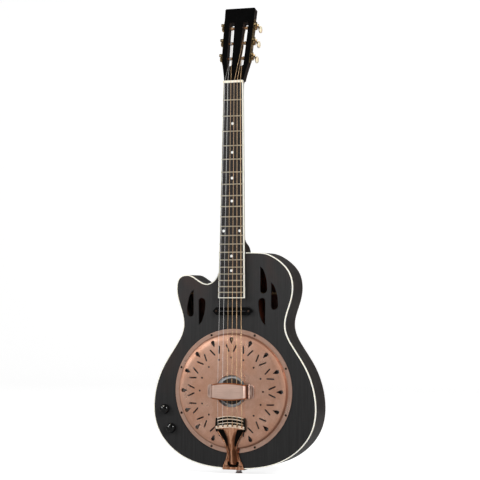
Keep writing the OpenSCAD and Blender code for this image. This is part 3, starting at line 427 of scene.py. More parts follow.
SKIN = {
    "top": top_stain(),
    "back": side_stain("back_lacquer", (0.026, 0.014, 0.009), (0.085, 0.042, 0.025), 0.3, True),
    "rim": side_stain("rim_lacquer", (0.008, 0.0055, 0.0048), (0.021, 0.0135, 0.0105), 0.38),
    "binding": plastic("cream_binding", (0.95, 0.92, 0.82), (0.90, 0.86, 0.73), 0.28, 70, glow=0.1),
    "raw_spruce": wood("raw_spruce", (0.34, 0.20, 0.09), (0.48, 0.31, 0.16), (60, 60, 60), 0.65),
    "raw_mahogany": wood("raw_mahogany", (0.09, 0.032, 0.016), (0.17, 0.066, 0.034), (300, 300, 14), 0.6),
    "raw_cedar": wood("raw_cedar", (0.045, 0.020, 0.011), (0.085, 0.040, 0.022), (50, 300, 50), 0.65),
    "plywood": plywood("plywood"),
    "aluminium": spun("spun_aluminium", (0.94, 0.96, 0.98), (0.76, 0.79, 0.82), 1500, 0.34, 40, 0.00005, 0.2, 0, 0.3),
    "biscuit": wood("dark_maple", (0.016, 0.012, 0.010), (0.045, 0.032, 0.024), (300, 300, 20), 0.4),
    "maple": wood("maple", (0.42, 0.28, 0.15), (0.60, 0.43, 0.26), (20, 400, 400), 0.45),
    "cover": spun("cover_copper", COPPER["light"], COPPER["dark"], 1300, 0.3, patina_and_shade=0.9, step_radius=120.4),
    "rest": brushed("rest_copper", (0.86, 0.63, 0.53), (0.70, 0.47, 0.38), (30, 30, 1500), 0.33),
    "tail": cast("tail_copper", (0.97, 0.53, 0.33), (0.42, 0.165, 0.08), 0.15),
    # Near-black metal for the arms, also used for the dark sheet painted behind the bars as shade.
    "tail_dark": metal("tail_black_and_shade", (0.020, 0.015, 0.012), (0.008, 0.007, 0.006), 0.35, 0.9, 90),
    "bar": metal("bar_polished", (1.0, 0.90, 0.76), (0.72, 0.52, 0.36), 0.3, 0.5, 160, 0.002, 0.55),
    "chrome": metal("chrome", (0.80, 0.81, 0.82), (0.66, 0.67, 0.69), 0.08, 0.5, 90),
    "nickel": metal("nickel_silver", (0.66, 0.60, 0.48), (0.46, 0.41, 0.31), 0.3, 0.3, 300),
    "steel": metal("plain_steel", (0.92, 0.90, 0.88), (0.74, 0.72, 0.70), 0.36, 0.2, 300, 0.002, 0.6),
    "blade": metal("blade_steel", (0.20, 0.20, 0.21), (0.12, 0.12, 0.13), 0.35, 0.3, 300),
    "brass": metal("aged_brass", BRASS["light"], BRASS["dark"], 0.26, 0.9, 330, 0.004),
    "roller": metal("roller_copper", (0.66, 0.36, 0.20), (0.36, 0.17, 0.085), 0.25, 0.7, 200),
    "screw": metal("screw_copper", (0.07, 0.045, 0.035), (0.03, 0.02, 0.015), 0.4, 0.9, 300, 0.002),
    "neck": wood("stained_mahogany", (0.008, 0.0045, 0.0035), (0.026, 0.0135, 0.009),
                 (420, 420, 10), 0.52, 0.5, 0.0, 0.22),
    "head": wood("black_veneer", (0.0012, 0.0012, 0.0012), (0.0030, 0.0028, 0.0028),
                 (420, 420, 9), 0.22, 0.2, 0.0, 0.14),
    "board": wood("oiled_board", (0.010, 0.009, 0.009), (0.026, 0.023, 0.023), (700, 700, 13), 0.42, 0.7, 0.0, 0.3),
    "pearl": plastic("pearl", (0.98, 0.98, 0.96), (0.86, 0.88, 0.87), 0.15, 420, coat=0.6),
    "bone": plastic("bone", (0.90, 0.85, 0.72), (0.82, 0.75, 0.60), 0.3, 200, glow=0.15),
    "button": plastic("pearl_button", (0.95, 0.86, 0.69), (0.82, 0.66, 0.44), 0.16, 130, glow=0.2, coat=0.6),
    "black": plastic("black_plastic", (0.0015, 0.0015, 0.0015), (0.003, 0.003, 0.003), 0.35, 200, shine=0.05),
    "knob": plastic("knob_black", (0.0018, 0.0018, 0.0018), (0.003, 0.003, 0.003), 0.08, 200, shine=0.34),
    "cable": plastic("cable", (0.02, 0.02, 0.022), (0.035, 0.035, 0.04), 0.45, 300),
    "bronze_wire": wound("bronze_wire", (0.95, 0.66, 0.38), (0.66, 0.40, 0.20), 2200),
}

# ---------------------------------------------------------------- frame nodes that keep their shape


SHARP_ANGLE = 38
WELD_DISTANCE = 0.004
FLAT_ANGLE = 0.6


def geometry_group(name):
    """An empty geometry node group, and what enters it."""
    group = bpy.data.node_groups.new(name, "GeometryNodeTree")
    for way in ("INPUT", "OUTPUT"):
        group.interface.new_socket("Geometry", in_out=way, socket_type="NodeSocketGeometry")
    return group, add_node(group, "NodeGroupInput").outputs[0]


def angle_smoothing():
    """Keeps edges sharp where their faces meet at more than a limit."""
    group, enter = geometry_group("angle_smoothing")
    corner = add_node(group, "GeometryNodeInputMeshEdgeAngle").outputs["Unsigned Angle"]
    soft = add_node(group, "FunctionNodeCompare", data_type="FLOAT", operation="LESS_EQUAL")
    feed(group, soft.inputs[0], corner)
    feed(group, soft.inputs[1], radians(SHARP_ANGLE))
    inputs = {"Geometry": enter, "Shade Smooth": soft.outputs[0]}
    shade = add_node(group, "GeometryNodeSetShadeSmooth", inputs, domain="EDGE")
    add_node(group, "NodeGroupOutput", {0: shade.outputs[0]})
    return group


def plain_shading():
    """Sets a frame node's stored normals aside and shades its faces smooth; its own mesh stays as it is."""
    group, enter = geometry_group("plain_shading")
    bare = add_node(group, "GeometryNodeRemoveAttribute", {"Geometry": enter, "Name": "custom_normal"})
    inputs = {"Geometry": bare.outputs[0], "Shade Smooth": True}
    shade = add_node(group, "GeometryNodeSetShadeSmooth", inputs, domain="FACE")
    add_node(group, "NodeGroupOutput", {0: shade.outputs[0]})
    return group


SMOOTHING = angle_smoothing()
PLAIN = plain_shading()


def round_edges(piece, width, segments=2, angle=32):
    """Small rounded edges with clean shading on the flats."""
    if width:
        bevel = piece.modifiers.new("edges", "BEVEL")
        bevel.width = width * MM
        bevel.segments = segments
        bevel.limit_method = "ANGLE"
        bevel.angle_limit = radians(angle)
    smooth = piece.modifiers.new("smooth", "NODES")
    smooth.node_group = SMOOTHING
    flats = piece.modifiers.new("flats", "WEIGHTED_NORMAL")
    flats.keep_sharp = True


def keep(node, skin, width):
    """Gives a frame node its material, and modifiers that round its edges and smooth its curves."""
    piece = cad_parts[node]
    piece.material_slots[0].material = SKIN[skin]
    piece.modifiers.new("plain_shading", "NODES").node_group = PLAIN
    piece.modifiers.new("weld", "WELD").merge_threshold = WELD_DISTANCE * MM
    if width:
        flat = piece.modifiers.new("flat", "DECIMATE")
        flat.decimate_type = "DISSOLVE"
        flat.angle_limit = radians(FLAT_ANGLE)
    round_edges(piece, width)


# node: (skin, width of its rounded edges)
KEPT = {
    "top": ("top", 0.25), "back": ("back", 0.8), "rim": ("rim", 0), "binding": ("binding", 0.35),
    "linings": ("raw_cedar", 0), "braces": ("raw_spruce", 0.8), "neck_block": ("raw_mahogany", 0.5),
    "tail_block": ("raw_mahogany", 0.5), "soundwell": ("plywood", 0.4), "biscuit": ("biscuit", 0.3),
    "saddle": ("maple", 0.15), "output_jack": ("chrome", 0.25), "head_plate": ("head", 0.3),
    "fretboard": ("board", 0.1), "board_binding": ("binding", 0.3), "frets": ("nickel", 0),
    "position_dots": ("pearl", 0.1), "nut": ("bone", 0.2), "truss_rod": ("steel", 0.2),
    "pickup": ("black", 0.6), "control_pots": ("steel", 0.3), "wiring": ("cable", 0),
    "wood_screws": ("screw", 0), "tuner_plate_left": ("brass", 0.2), "tuner_plate_right": ("brass", 0.2),
    "volume_shaft": ("steel", 0.2), "tone_shaft": ("steel", 0.2),
}
for k in range(1, 7):
    KEPT[f"gear_{k}"] = ("brass", 0.15)
    KEPT[f"roller_{k}"] = ("roller", 0.2)
for node, (skin, width) in KEPT.items():
    keep(node, skin, width)

# ---------------------------------------------------------------- new pieces


def build(name, points, faces, skin, stands_for=(), body="body", slot=None, at=None, edge=None):
    """A new piece from points in millimetres in the frame at, with its edges rounded if edge is a width."""
    at = at or Matrix.Identity(4)
    shape = bmesh.new()
    corners = [shape.verts.new((at @ Vector(p)) * MM) for p in points]
    for face in faces:
        if len(set(face)) > 2:
            shape.faces.new([corners[i] for i in face])
    bmesh.ops.remove_doubles(shape, verts=shape.verts, dist=1e-7)
    bmesh.ops.recalc_face_normals(shape, faces=shape.faces)
    mesh = bpy.data.meshes.new(name)
    shape.to_mesh(mesh)
    shape.free()
    mesh.shade_smooth()
    mesh.materials.append(SKIN[skin])
    piece = bpy.data.objects.new(name, mesh)
    bpy.context.scene.collection.objects.link(piece)
    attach(piece, body)
    if stands_for:
        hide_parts(*stands_for)
    if edge is not None:
        round_edges(piece, edge)
    return piece


def join(*shapes):
    """Puts several (points, faces) shapes into one."""
    points, faces = [], []
    for more_points, more_faces in shapes:
        start = len(points)
        points += more_points
        faces += [tuple(start + i for i in face) for face in more_faces]
    return points, faces


def placed(shape, frame_matrix):
    return [tuple(frame_matrix @ Vector(p)) for p in shape[0]], shape[1]


def loft(rings, closed=False, caps=True):
    """Skins rings that all have the same number of points."""
    count = len(rings[0])
    points = [tuple(p) for ring in rings for p in ring]
    last = len(rings) if closed else len(rings) - 1
    faces = []
    for i in range(last):
        a, b = i * count, ((i + 1) % len(rings)) * count
        faces += [(a + j, a + (j + 1) % count, b + (j + 1) % count, b + j) for j in range(count)]
    if caps and not closed:
        faces.append(tuple(range(count)))
        faces.append(tuple(range(len(points) - count, len(points))))
    return points, faces


def grid(rows, columns):
    """Faces between rows of points that all have the same number of columns."""
    return [(columns * i + j, columns * i + j + 1, columns * (i + 1) + j + 1, columns * (i + 1) + j)
            for i in range(rows - 1) for j in range(columns - 1)]


def bent(value, power):
    """A power that keeps the value's sign."""
    return abs(value) ** power * (1 if value > 0 else -1)


def circle(radius, steps, height=0.0):
    return [(radius * cos(2 * pi * i / steps), radius * sin(2 * pi * i / steps), height) for i in range(steps)]


def lathe(profile, steps=64):
    """Turns [radius, height] points about Z; the ends are closed."""
    return loft([circle(max(r, 0.001), steps, h) for r, h in profile])


def tube(path, radius, sides=12):
    """A round wire along a path; radius is one number or one for each point."""
    path = [Vector(p) for p in path]
    radii = radius if isinstance(radius, list) else [radius] * len(path)
    rings = []
    across = None
    for i, point in enumerate(path):
        along = (path[min(i + 1, len(path) - 1)] - path[max(i - 1, 0)]).normalized()
        if across is None:
            across = along.orthogonal().normalized()
        across = (across - along * across.dot(along)).normalized()
        other = along.cross(across)
        rings.append([point + radii[i] * (cos(a) * across + sin(a) * other)
                      for a in [2 * pi * j / sides for j in range(sides)]])
    return loft(rings)


def between(x, pairs):
    """Straight-line value at x through sorted (x, value) pairs."""
    if x <= pairs[0][0]:
        return pairs[0][1]
    for (x0, v0), (x1, v1) in zip(pairs, pairs[1:]):
        if x <= x1:
            return v0 + (v1 - v0) * (x - x0) / (x1 - x0)
    return pairs[-1][1]


def eased(x, x0, x1):
    """0 before x0, 1 after x1 and a smooth step between."""
    t = min(1, max(0, (x - x0) / (x1 - x0)))
    return t * t * (3 - 2 * t)


def smooth_curve(points, steps):
    """Rounded path through points, evenly stepped between each pair."""
    points = [Vector(p) for p in points]
    path = []
    for i in range(len(points) - 1):
        before = points[max(i - 1, 0)]
        after = points[min(i + 2, len(points) - 1)]
        a, b = points[i], points[i + 1]
        for j in range(steps):
            t = j / steps
            path.append(0.5 * (2 * a + (b - before) * t + (2 * before - 5 * a + 4 * b - after) * t * t
                               + (3 * a - before - 3 * b + after) * t * t * t))
    path.append(points[-1])
    return path


def inside(point, ring):
    """Whether a 2D point is inside a closed ring."""
    x, y = point
    odd = False
    for (x0, y0), (x1, y1) in zip(ring, ring[1:] + ring[:1]):
        if (y0 > y) != (y1 > y) and x < x0 + (x1 - x0) * (y - y0) / (y1 - y0):
            odd = not odd
    return odd


def far_from(point, ring, distance):
    return all(hypot(point[0] - q[0], point[1] - q[1]) > distance for q in ring)


def triangulated(outlines, fill):
    """Triangles between the first outline and the holes after it, using the fill points inside."""
    points = [Vector(p) for ring in outlines for p in ring]
    edges = []
    start = 0
    for ring in outlines:
        edges += [(start + i, start + (i + 1) % len(ring)) for i in range(len(ring))]
        start += len(ring)
    points += [Vector(p) for p in fill]
    found, _, faces, *_ = delaunay_2d_cdt(points, edges, [], 0, 1e-6)
    kept = []
    for face in faces:
        centre = sum((found[i] for i in face), Vector((0, 0))) / len(face)
        if inside(centre, outlines[0]) and not any(inside(centre, hole) for hole in outlines[1:]):
            kept.append(tuple(face))
    return [tuple(p) for p in found], kept


def thicken(piece, thickness, edge=0.2):
    """Gives a sheet its thickness behind the drawn surface, then rounds its edges."""
    shell = piece.modifiers.new("thickness", "SOLIDIFY")
    shell.thickness = thickness * MM
    shell.offset = -1
    round_edges(piece, edge)


# ---------------------------------------------------------------- resonator

MOUTH = 33.5
KITES = 16


def cover_height(r):
    """Height of the cover's outer surface at a radius."""
    if r < 34.5:
        return 14.4 + 0.6 * sin(0.5 * pi * (r - MOUTH))
    if r < 107:
        return 15 - 3 * ((r - 34.5) / 72.5) ** 1.7
    if r < 119:
        return 12 - 2.1 * ((r - 107) / 12) ** 1.3
    return between(r, [(119, 9.9), (119.6, 9.4), (120.3, 8), (121.0, 2.9), (121.5, 2.0), (131.2, 2.0), (132, 1.3)])


def arc_points(centre, radius, start, end, steps):
    return [(centre[0] + radius * cos(a), centre[1] + radius * sin(a))
            for a in [radians(start + (end - start) * i / steps) for i in range(steps + 1)]]


def rotated(ring, degrees, out=0.0):
    """A ring of 2D points moved out along +y and then turned clockwise about the origin."""
    a = radians(degrees)
    return [(x * cos(a) + (y + out) * sin(a), -x * sin(a) + (y + out) * cos(a)) for x, y in ring]


def kite_hole():
    corners = [(0, -8), (4.4, 2.8), (3.2, 6), (0, 7.2), (-3.2, 6), (-4.4, 2.8)]
    ring = []
    for (x0, y0), (x1, y1) in zip(corners, corners[1:] + corners[:1]):
        ring += [(x0 + (x1 - x0) * t, y0 + (y1 - y0) * t) for t in (0.08, 0.5, 0.92)]
    return ring


def slit_hole(half_length=7, radius=1.5):
    return (arc_points((0, half_length), radius, 0, 180, 5)
            + arc_points((0, -half_length), radius, 180, 360, 5))


def cover_holes():
    holes = []
    for i in range(KITES):
        at = 360 * i / KITES
        holes.append(rotated(kite_hole(), at, 107))
        holes.append(rotated(arc_points((0, 0), 2, 0, 330, 11), at, 71))
        for side in (-1, 1):
            slit = rotated(slit_hole(), 19 * side)
            holes.append(rotated(slit, at + 5.2 * side, 91))
    return holes


def cover_plate():
    holes = cover_holes()
    steps = 160
    rings = [34.0, 34.5, 37, 41, 46, 51, 56, 61, 66, 71, 76, 81, 86, 91, 96, 101, 105, 108, 111, 114, 117,
             118.5, 119.5, 120.2, 121.0, 121.6, 124, 128, 131.2]
    fill = []
    for r in rings:
        for x, y, _ in circle(r, steps):
            if 60 < r < 117 and not all(inside_apart((x, y), hole) for hole in holes):
                continue
            fill.append((x, y))
    outer = [p[:2] for p in circle(COVER_RADIUS, steps)]
    mouth = [p[:2] for p in circle(MOUTH, steps)]
    flat, faces = triangulated([outer, mouth] + holes, fill)
    points = [(x, y, cover_height(hypot(x, y))) for x, y in flat]
    edge = [(x, y, 0.1) for x, y in outer]
    skirt = [(*p, cover_height(COVER_RADIUS)) for p in outer]
    skirt_faces = [(i, (i + 1) % steps, steps + (i + 1) % steps, steps + i) for i in range(steps)]
    shape = join((points, faces), (skirt + edge, skirt_faces))
    piece = build("cover_plate_sheet", *shape, "cover", ["cover_plate"], at=COVER_FRAME)
    thicken(piece, 0.8, 0.22)


def inside_apart(point, hole):
    """True when a point is outside a hole and not crowding its edge."""
    if hypot(point[0] - hole[0][0], point[1] - hole[0][1]) > 18:
        return True
    return not inside(point, hole) and far_from(point, hole, 0.9)


def cone():
    """Spun cone: a flat crown under the biscuit, stepped grooves down the side and a flat seat."""
    profile = [(0.0, 8.0), (26.5, 8.0), (27.4, 8.5), (28.6, 8.9), (29.8, 8.7), (30.6, 8.1), (31.4, 7.6)]
    for i in range(1, 40):
        r = 31.4 + (109 - 31.4) * i / 40
        wave = 0.28 * cos(2 * pi * i / 4)
        profile.append((r, 7.6 - 18.0 * (i / 40) + wave))
    profile += [(110.2, -10.6), (114, -10.4), (118.8, -10.4), (119.4, -10.7)]
    under = [(r, h - 0.6) for r, h in reversed(profile)]
    shape = lathe(profile + under, 128)
    build("spun_cone", *shape, "aluminium", ["cone"], at=COVER_FRAME, edge=0)


REST_HALF = 39.4
REST_FRONT = 35.4
REST_FOOT = 15.0


def rest_path():
    """(x, height) along the strip from the middle to the right foot, with rounded bends."""
    bend, toe = 8.0, 3.2
    path = [(x, REST_FRONT) for x in range(0, 30, 4)]
    path += arc_points((REST_HALF - bend, REST_FRONT - bend), bend, 90, 0, 8)
    path += [(REST_HALF, h) for h in (27, 24, 21)]
    path += [(REST_HALF + toe - toe * cos(radians(a)), REST_FOOT + 1.2 + toe - toe * sin(radians(a)))
             for a in range(0, 91, 15)]
    path += [(x, REST_FOOT + 1.2) for x in (43.6, 45, 46.5, 48, 49, 50, 51, 51.6, 52)]
    return path


def rest_half_height(x):
    """Half height of the strip at a distance from its middle."""
    if x <= REST_HALF:
        return 18.5 - 4.3 * (x / REST_HALF) ** 2
    if x < 46.5:
        return 14.2
    return 8.7 + 5.5 * sqrt(max(0, 1 - ((x - 46.5) / 5.5) ** 2))


def hand_rest():
    right = rest_path()
    path = [(-x, h) for x, h in reversed(right[1:])] + right
    cuts = [-1, -0.97, -0.9, -0.75, -0.5, -0.25, 0, 0.25, 0.5, 0.75, 0.9, 0.97, 1]
    points, edge_and_wall_shade = [], []
    for x, h in path:
        for v in cuts:
            rim = max(eased(abs(v), 0.6, 0.9), eased(abs(x), 47.5, 50.5)) * eased(abs(x), 44, 45.5)
            crown = 0.5 * (1 - v * v) if h > 30 else 1.1 * rim
            points.append((x, v * rest_half_height(abs(x)), h - 0.5 + crown))
            # The side walls of the bends get a mark of 2, which the material paints near-black as shade; the long
            # edges get up to 1, a darker orange-brown.
            wall_shade = eased(h, 32, 28) * eased(h, 17, 19)
            edge_and_wall_shade.append(max(eased(abs(v), 0.8, 0.93) * eased(h, 20, 26), 2 * wall_shade))
    piece = build("hand_rest_strip", points, grid(len(path), len(cuts)), "rest", ["hand_rest"], at=COVER_FRAME)
    mark_edge_and_shade(piece, edge_and_wall_shade)
    thicken(piece, 1.2, 0.3)


def mark_edge_and_shade(piece, values):
    """Stores a value per point for the material: darker edges, and painted shade on walls and in pockets."""
    layer = piece.data.attributes.new("edge", "FLOAT", "POINT")
    layer.data.foreach_set("value", values)


cover_plate()
cone()
hand_rest()

# ---------------------------------------------------------------- tailpiece

TAIL_TOP = 92
TAIL_HEIGHT = [(0, 1.8), (22, 1.8), (30, 2.6), (38, 6), (42, 9.8), (46, 12.2), (52, 13.4), (58, 14.2), (68, 15.4),
               (76, 16.6), (83, 18.2), (92, 19.4)]
FLANGE_HALF = [(0, 24.2), (8, 22.4), (14, 19.9), (20, 16.9), (25, 15), (31, 13.4), (38, 12.8), (46, 13), (52, 13.8),
               (59, 16.8), (67, 21.7), (74.5, 26.6), (82, 31), (86, 32.2), (92, 32.4)]
SPINE_HALF = [(7, 4), (10, 6.2), (14, 8.0), (20, 8.4), (28, 7.6), (40, 7.2), (54, 7.6), (64, 9), (74, 11.6),
              (84, 15), (92, 18)]
SPINE_CREST = [(7, 2.4), (9.5, 6.4), (13, 9.8), (19, 11.6), (30, 12.6), (42, 15.2), (54, 18), (66, 20.2),
               (80, 21.2), (92, 20.8)]


def tail_parts(x, z):
    """Shares of raised edge, sunken pocket and rounded spine at a point of the tailpiece."""
    half = between(z, FLANGE_HALF)
    spine = between(z, SPINE_HALF)
    edge = eased(abs(x), half - 4, half - 1.4) * eased(z, 4, 16) * (1 - eased(z, 84, 90))
    share = min(1, abs(x) / (spine * 1.12))
    ridge = (cos(0.5 * pi * share) if share < 1 else 0) * eased(z, 7, 11)
    pocket = (1 - eased(abs(x), half - 3.4, half - 1.2)) * eased(z, 4, 9) * (1 - eased(z, 82, 88))
    return edge, pocket, ridge


def tail_height(x, z):
    edge, pocket, ridge = tail_parts(x, z)
    base = between(z, TAIL_HEIGHT)
    sink = 0.4 + 0.5 * eased(z, 56, 66)
    return base - sink * pocket + 1.0 * edge + (between(z, SPINE_CREST) - base + sink) * ridge


def tail_sheet():
    outline_right = [(between(z, FLANGE_HALF), z) for z in range(0, TAIL_TOP + 1, 2)]
    outline = outline_right + [(-x, z) for x, z in reversed(outline_right)]
    fill = [(between(row, FLANGE_HALF) * (2 * j / 52 - 1), row + 0.01 * (j % 2))
            for row in range(1, TAIL_TOP) for j in range(1, 52)]
    flat, faces = triangulated([outline], fill)
    return [(x, z, tail_height(x, z)) for x, z in flat], faces


def tail_fold():
    """The end of the sheet that bends over the tail and runs back under the body."""
    bend = 1.6
    path = [(1.8, 0.0)] + [(1.8 - bend + bend * cos(radians(a)), -bend * sin(radians(a))) for a in range(15, 91, 15)]
    path += [(-h, -bend) for h in (6, 12, 20, 30, 40, 50, 55)]
    rows = [[(24.2 * (2 * j / 16 - 1), z, h) for j in range(17)] for h, z in path]
    return [p for row in rows for p in row], grid(len(rows), 17)


def arched_rail(crown, drop, half, wide, deep, height, start=-1.0, end=1.0, steps=36):
    """A bar of rounded section along an arch, as (points, faces) in the top's plane."""
    bend = (half * half + drop * drop) / (2 * drop)
    rings = []
    for i in range(steps + 1):
        t = start + (end - start) * i / steps
        lean = t * half / bend
        x, z = bend * sin(lean), crown - bend * (1 - cos(lean))
        close = min(i, steps - i)
        size = [0.55, 0.88, 1][min(close, 2)]
        ring = []
        for j in range(12):
            a = 2 * pi * j / 12
            c, s = cos(a), sin(a)
            u = bent(c, 0.6) * wide / 2 * size
            v = bent(s, 0.6) * deep / 2 * size
            ring.append((x + u * sin(lean), z + u * cos(lean), height + v))
        rings.append(ring)
    return loft(rings)


def string_bar():
    """Scalloped bar: the six strings pass between seven rounded teeth on a plain rail."""
    half, drop, crown = 32.2, 3.8, 92.4
    shapes = [arched_rail(crown - 2.8, drop, half, 2.2, 4.2, 20.0)]
    notches = [(i - 2.5) * SADDLE_SPACING for i in range(6)]
    ends = [-half] + notches + [half]
    for i in range(7):
        start = ends[i] + (1.8 if i else 0)
        end = ends[i + 1] - (1.8 if i < 6 else 0)
        shapes.append(arched_rail(crown, drop, half, 5.0, 5.2, 20.2, start / half, end / half, 14))
    return join(*shapes)


def end_arm(side):
    """Curved arm that carries the thin bars and the string bar at one end."""
    path = smooth_curve([(side * 30.4, 80, 17.4), (side * 31.2, 86, 18.6), (side * 31.4, 93, 18.8),
                         (side * 31.2, 101, 18.4), (side * 30.4, 108.5, 18)], 6)
    return tube(path, [2.4] * (len(path) - 2) + [2.1, 1.2], 14)


def tail_shade_sheet():
    """Dark sheet behind the bars, painted shade standing for the shadow there, running from the string bar to the
    last one.
    """
    rows, columns = 9, 25
    points = []
    for i in range(rows):
        z = 83 + 28 * i / 8
        for j in range(columns):
            x = 29 * (2 * j / 24 - 1)
            points.append((x, z - 4.5 * (x / 32.4) ** 2, 16 + 0.5 * sin(0.35 * x) ** 2))
    return points, grid(rows, columns)


def tailpiece():
    sheet = build("tailpiece_sheet", *join(tail_sheet(), tail_fold()), "tail", ["tailpiece"],
                  at=TOP_FRAME)
    flat, shade_marks = TOP_FRAME.inverted(), []
    for vertex in sheet.data.vertices:
        x, z, _ = flat @ (vertex.co / MM)
        edge, pocket, ridge = tail_parts(x, z)
        # Painted shade stored for the material: a shadow under the spine's bulb, the pockets darkened (less on the
        # lower flange), the outer rim painted black against glints and the raised edges slightly darkened.
        under_bulb_shadow = eased(z, 3, 5) * (1 - eased(hypot(x, z - 13), 11.5, 13)) * (1 - eased(z, 13, 17))
        near = pocket * (0.38 + 0.62 * eased(z, 44, 56)) + under_bulb_shadow
        rim = abs(x) > between(z, FLANGE_HALF) - 0.4
        shade_marks.append(1 if rim and z > 2 else max(near * (1 - eased(ridge, 0.05, 0.4)), 0.35 * edge))
    mark_edge_and_shade(sheet, shade_marks)
    thicken(sheet, 1.2, 0.25)
    bars = join(arched_rail(112.2, 5, 31.6, 2.4, 2.6, 18.3), arched_rail(106.2, 5, 31.8, 2.4, 2.6, 18.3),
                arched_rail(99, 4.8, 31.4, 1.8, 2.0, 17.2))
    for name, shape, skin in [("string_bar", string_bar(), "bar"), ("thin_bars", bars, "bar"),
                              ("arms", join(end_arm(-1), end_arm(1)), "tail_dark")]:
        build("tailpiece_" + name, *shape, skin, slot="tailpiece", at=TOP_FRAME, edge=0)
    # A dark sheet put behind the bars as painted shade.
    shade_sheet = build("tailpiece_shade_sheet", *tail_shade_sheet(), "tail_dark", slot="tailpiece", at=TOP_FRAME)
    thicken(shade_sheet, 0.8, 0.2)


tailpiece()

# ---------------------------------------------------------------- strings


def string_x(i, spacing):
    return (i - 2.5) * spacing


def string_skin(i):
    return "steel" if i < PLAIN_STRINGS else "bronze_wire"


def to_neck(height, z):
    """A height in front of the top and a distance from the bridge, in the neck's frame."""
    a = radians(NECK_ANGLE)
    y = -height + BOARD_RISE
    return y * cos(a) - z * sin(a), y * sin(a) + z * cos(a)


def string_side(i):
    return -1 if i < 3 else 1


def roller_frame(i):
    """The tuner that takes a string, and its frame."""
    k = STRING_ROLLER[i] + 2 + (0 if string_side(i) > 0 else 3)
    return k, tuner_frame(k)


def string_wire(i):
    """The speaking length, from the tailpiece over the saddle and the nut to the roller."""
    r = STRING_RADIUS[i]
    notch = to_neck(21.4, -76)
    saddle = to_neck(24.2, -3.5)
    over = -SADDLE_ACTION - r - 0.05
    _, tuner = roller_frame(i)
    s = string_side(i)
    touch = tuner @ Vector((-s * SLOT_CENTRE, -ROLLER_RADIUS - r, 0))
    nut_y = -NUT_ACTION - r - 0.05
    nut_x = string_x(i, NUT_SPACING)
    start_x = string_x(i, SADDLE_SPACING)
    path = [NECK_FRAME @ Vector(p) for p in [
        (start_x, notch[0], notch[1]),
        (start_x, over, saddle[1] - 1.2),
        (start_x, over, saddle[1]),
        (start_x, over, saddle[1] + 1.2),
        (nut_x, nut_y, NUT_Z + 0.5),
        (nut_x, nut_y, NUT_Z + 3),
    ]]
    path.append(path[-1].lerp(touch, 0.03))
    path.append(touch)
    path = [path[0].lerp(path[1], t) for t in (0, 0.5, 0.96)] + path[1:]
    names = ["strings"] if i == 0 else []
    return build(f"string_{i + 1}", *tube(path, r, 12), string_skin(i), names, slot="strings")


def string_anchor(i):
    """The twisted end of a string with its ball behind the string bar."""
    r = STRING_RADIUS[i]
    x = string_x(i, SADDLE_SPACING)
    twist = [(x + (r + 0.15) * cos(a), 92 + 0.9 * a / pi, 21.4 + (r + 0.15) * sin(a))
             for a in [2 * pi * t / 10 for t in range(31)]]
    ball = lathe([(0.8, -1.3), (1.7, -1.1), (1.9, -0.6), (1.6, 0), (1.9, 0.6), (1.7, 1.1), (0.8, 1.3)], 20)
    seat = shift(x, 88.5, 17.4) @ turn(90, "Y")
    shape = join(tube(twist, max(r * 0.8, 0.2), 8), placed(ball, seat))
    build(f"string_end_{i + 1}", *shape, string_skin(i), slot="strings", at=TOP_FRAME)


def string_winding(i):
    """The turns of a string around its roller, which turn with it."""
    r = STRING_RADIUS[i]
    k, tuner = roller_frame(i)
    s = string_side(i)
    turns, steps = 3.6, 20
    path = []
    for j in range(int(turns * steps) + 1):
        a = 2 * pi * j / steps
        out = -s * (SLOT_CENTRE - (2.15 * r + 0.06) * j / steps)
        path.append((out, -(ROLLER_RADIUS + r) * cos(a), -(ROLLER_RADIUS + r) * sin(a)))
    build(f"string_winding_{i + 1}", *tube(path, r, 8), string_skin(i), body=f"tuner_{k}_post",
          slot="strings", at=tuner)


for string in range(6):
    string_wire(string)
    string_anchor(string)
    string_winding(string)

# ---------------------------------------------------------------- tuners

BUTTON_FROM = 18.8
BUTTON_LENGTH = 15.5
BUTTON_WIDTH = 15.5
BUTTON_THICK = 6.5


def worm_frame(k):
    """+Z runs from the front of the head to its back along the worm."""
    s = tuner_side(k)
    return tuner_frame(k) @ shift(s * GEAR_OUT, 0, WORM_OFFSET) @ turn(-90, "X")


def worm(k):
    """Key shaft with a turned head in front, a true screw thread and a flared end at the button."""
    head = [(0.1, -7.4), (1.7, -7.4), (2.1, -7.1), (2.1, -6.7), (1.4, -6.5)]
    core = head + [(1.4, -5.0), (1.55, -4.6), (1.55, 4.6), (1.4, 5.0), (1.4, 15.0), (1.9, 15.6), (2.3, 16.2),
                   (2.3, 16.8), (1.3, 17.2), (1.3, 27.0)]
    steps, turns = 28, 3.9
    length = turns * WORM_PITCH
    ribbon = []
    for j in range(int(steps * turns) + 1):
        a = 2 * pi * (j / steps + 0.05)
        fade = min(1, 0.35 + min(j, int(steps * turns) - j) / 14)
        z = -length / 2 + WORM_PITCH * j / steps
        profile = [(1.45, -0.95), (2.0, -0.62), (2.0 + 0.68 * fade, -0.22), (2.0 + 0.68 * fade, 0.22),
                   (2.0, 0.62), (1.45, 0.95)]
        ribbon.append([(-r * sin(a), r * cos(a), z + h) for r, h in profile])
    shape = join(lathe(core, 28), loft(ribbon))
    build(f"key_worm_{k}", *shape, "brass", [f"worm_{k}"], body=f"tuner_{k}_key", slot="worms", at=worm_frame(k),
          edge=0)


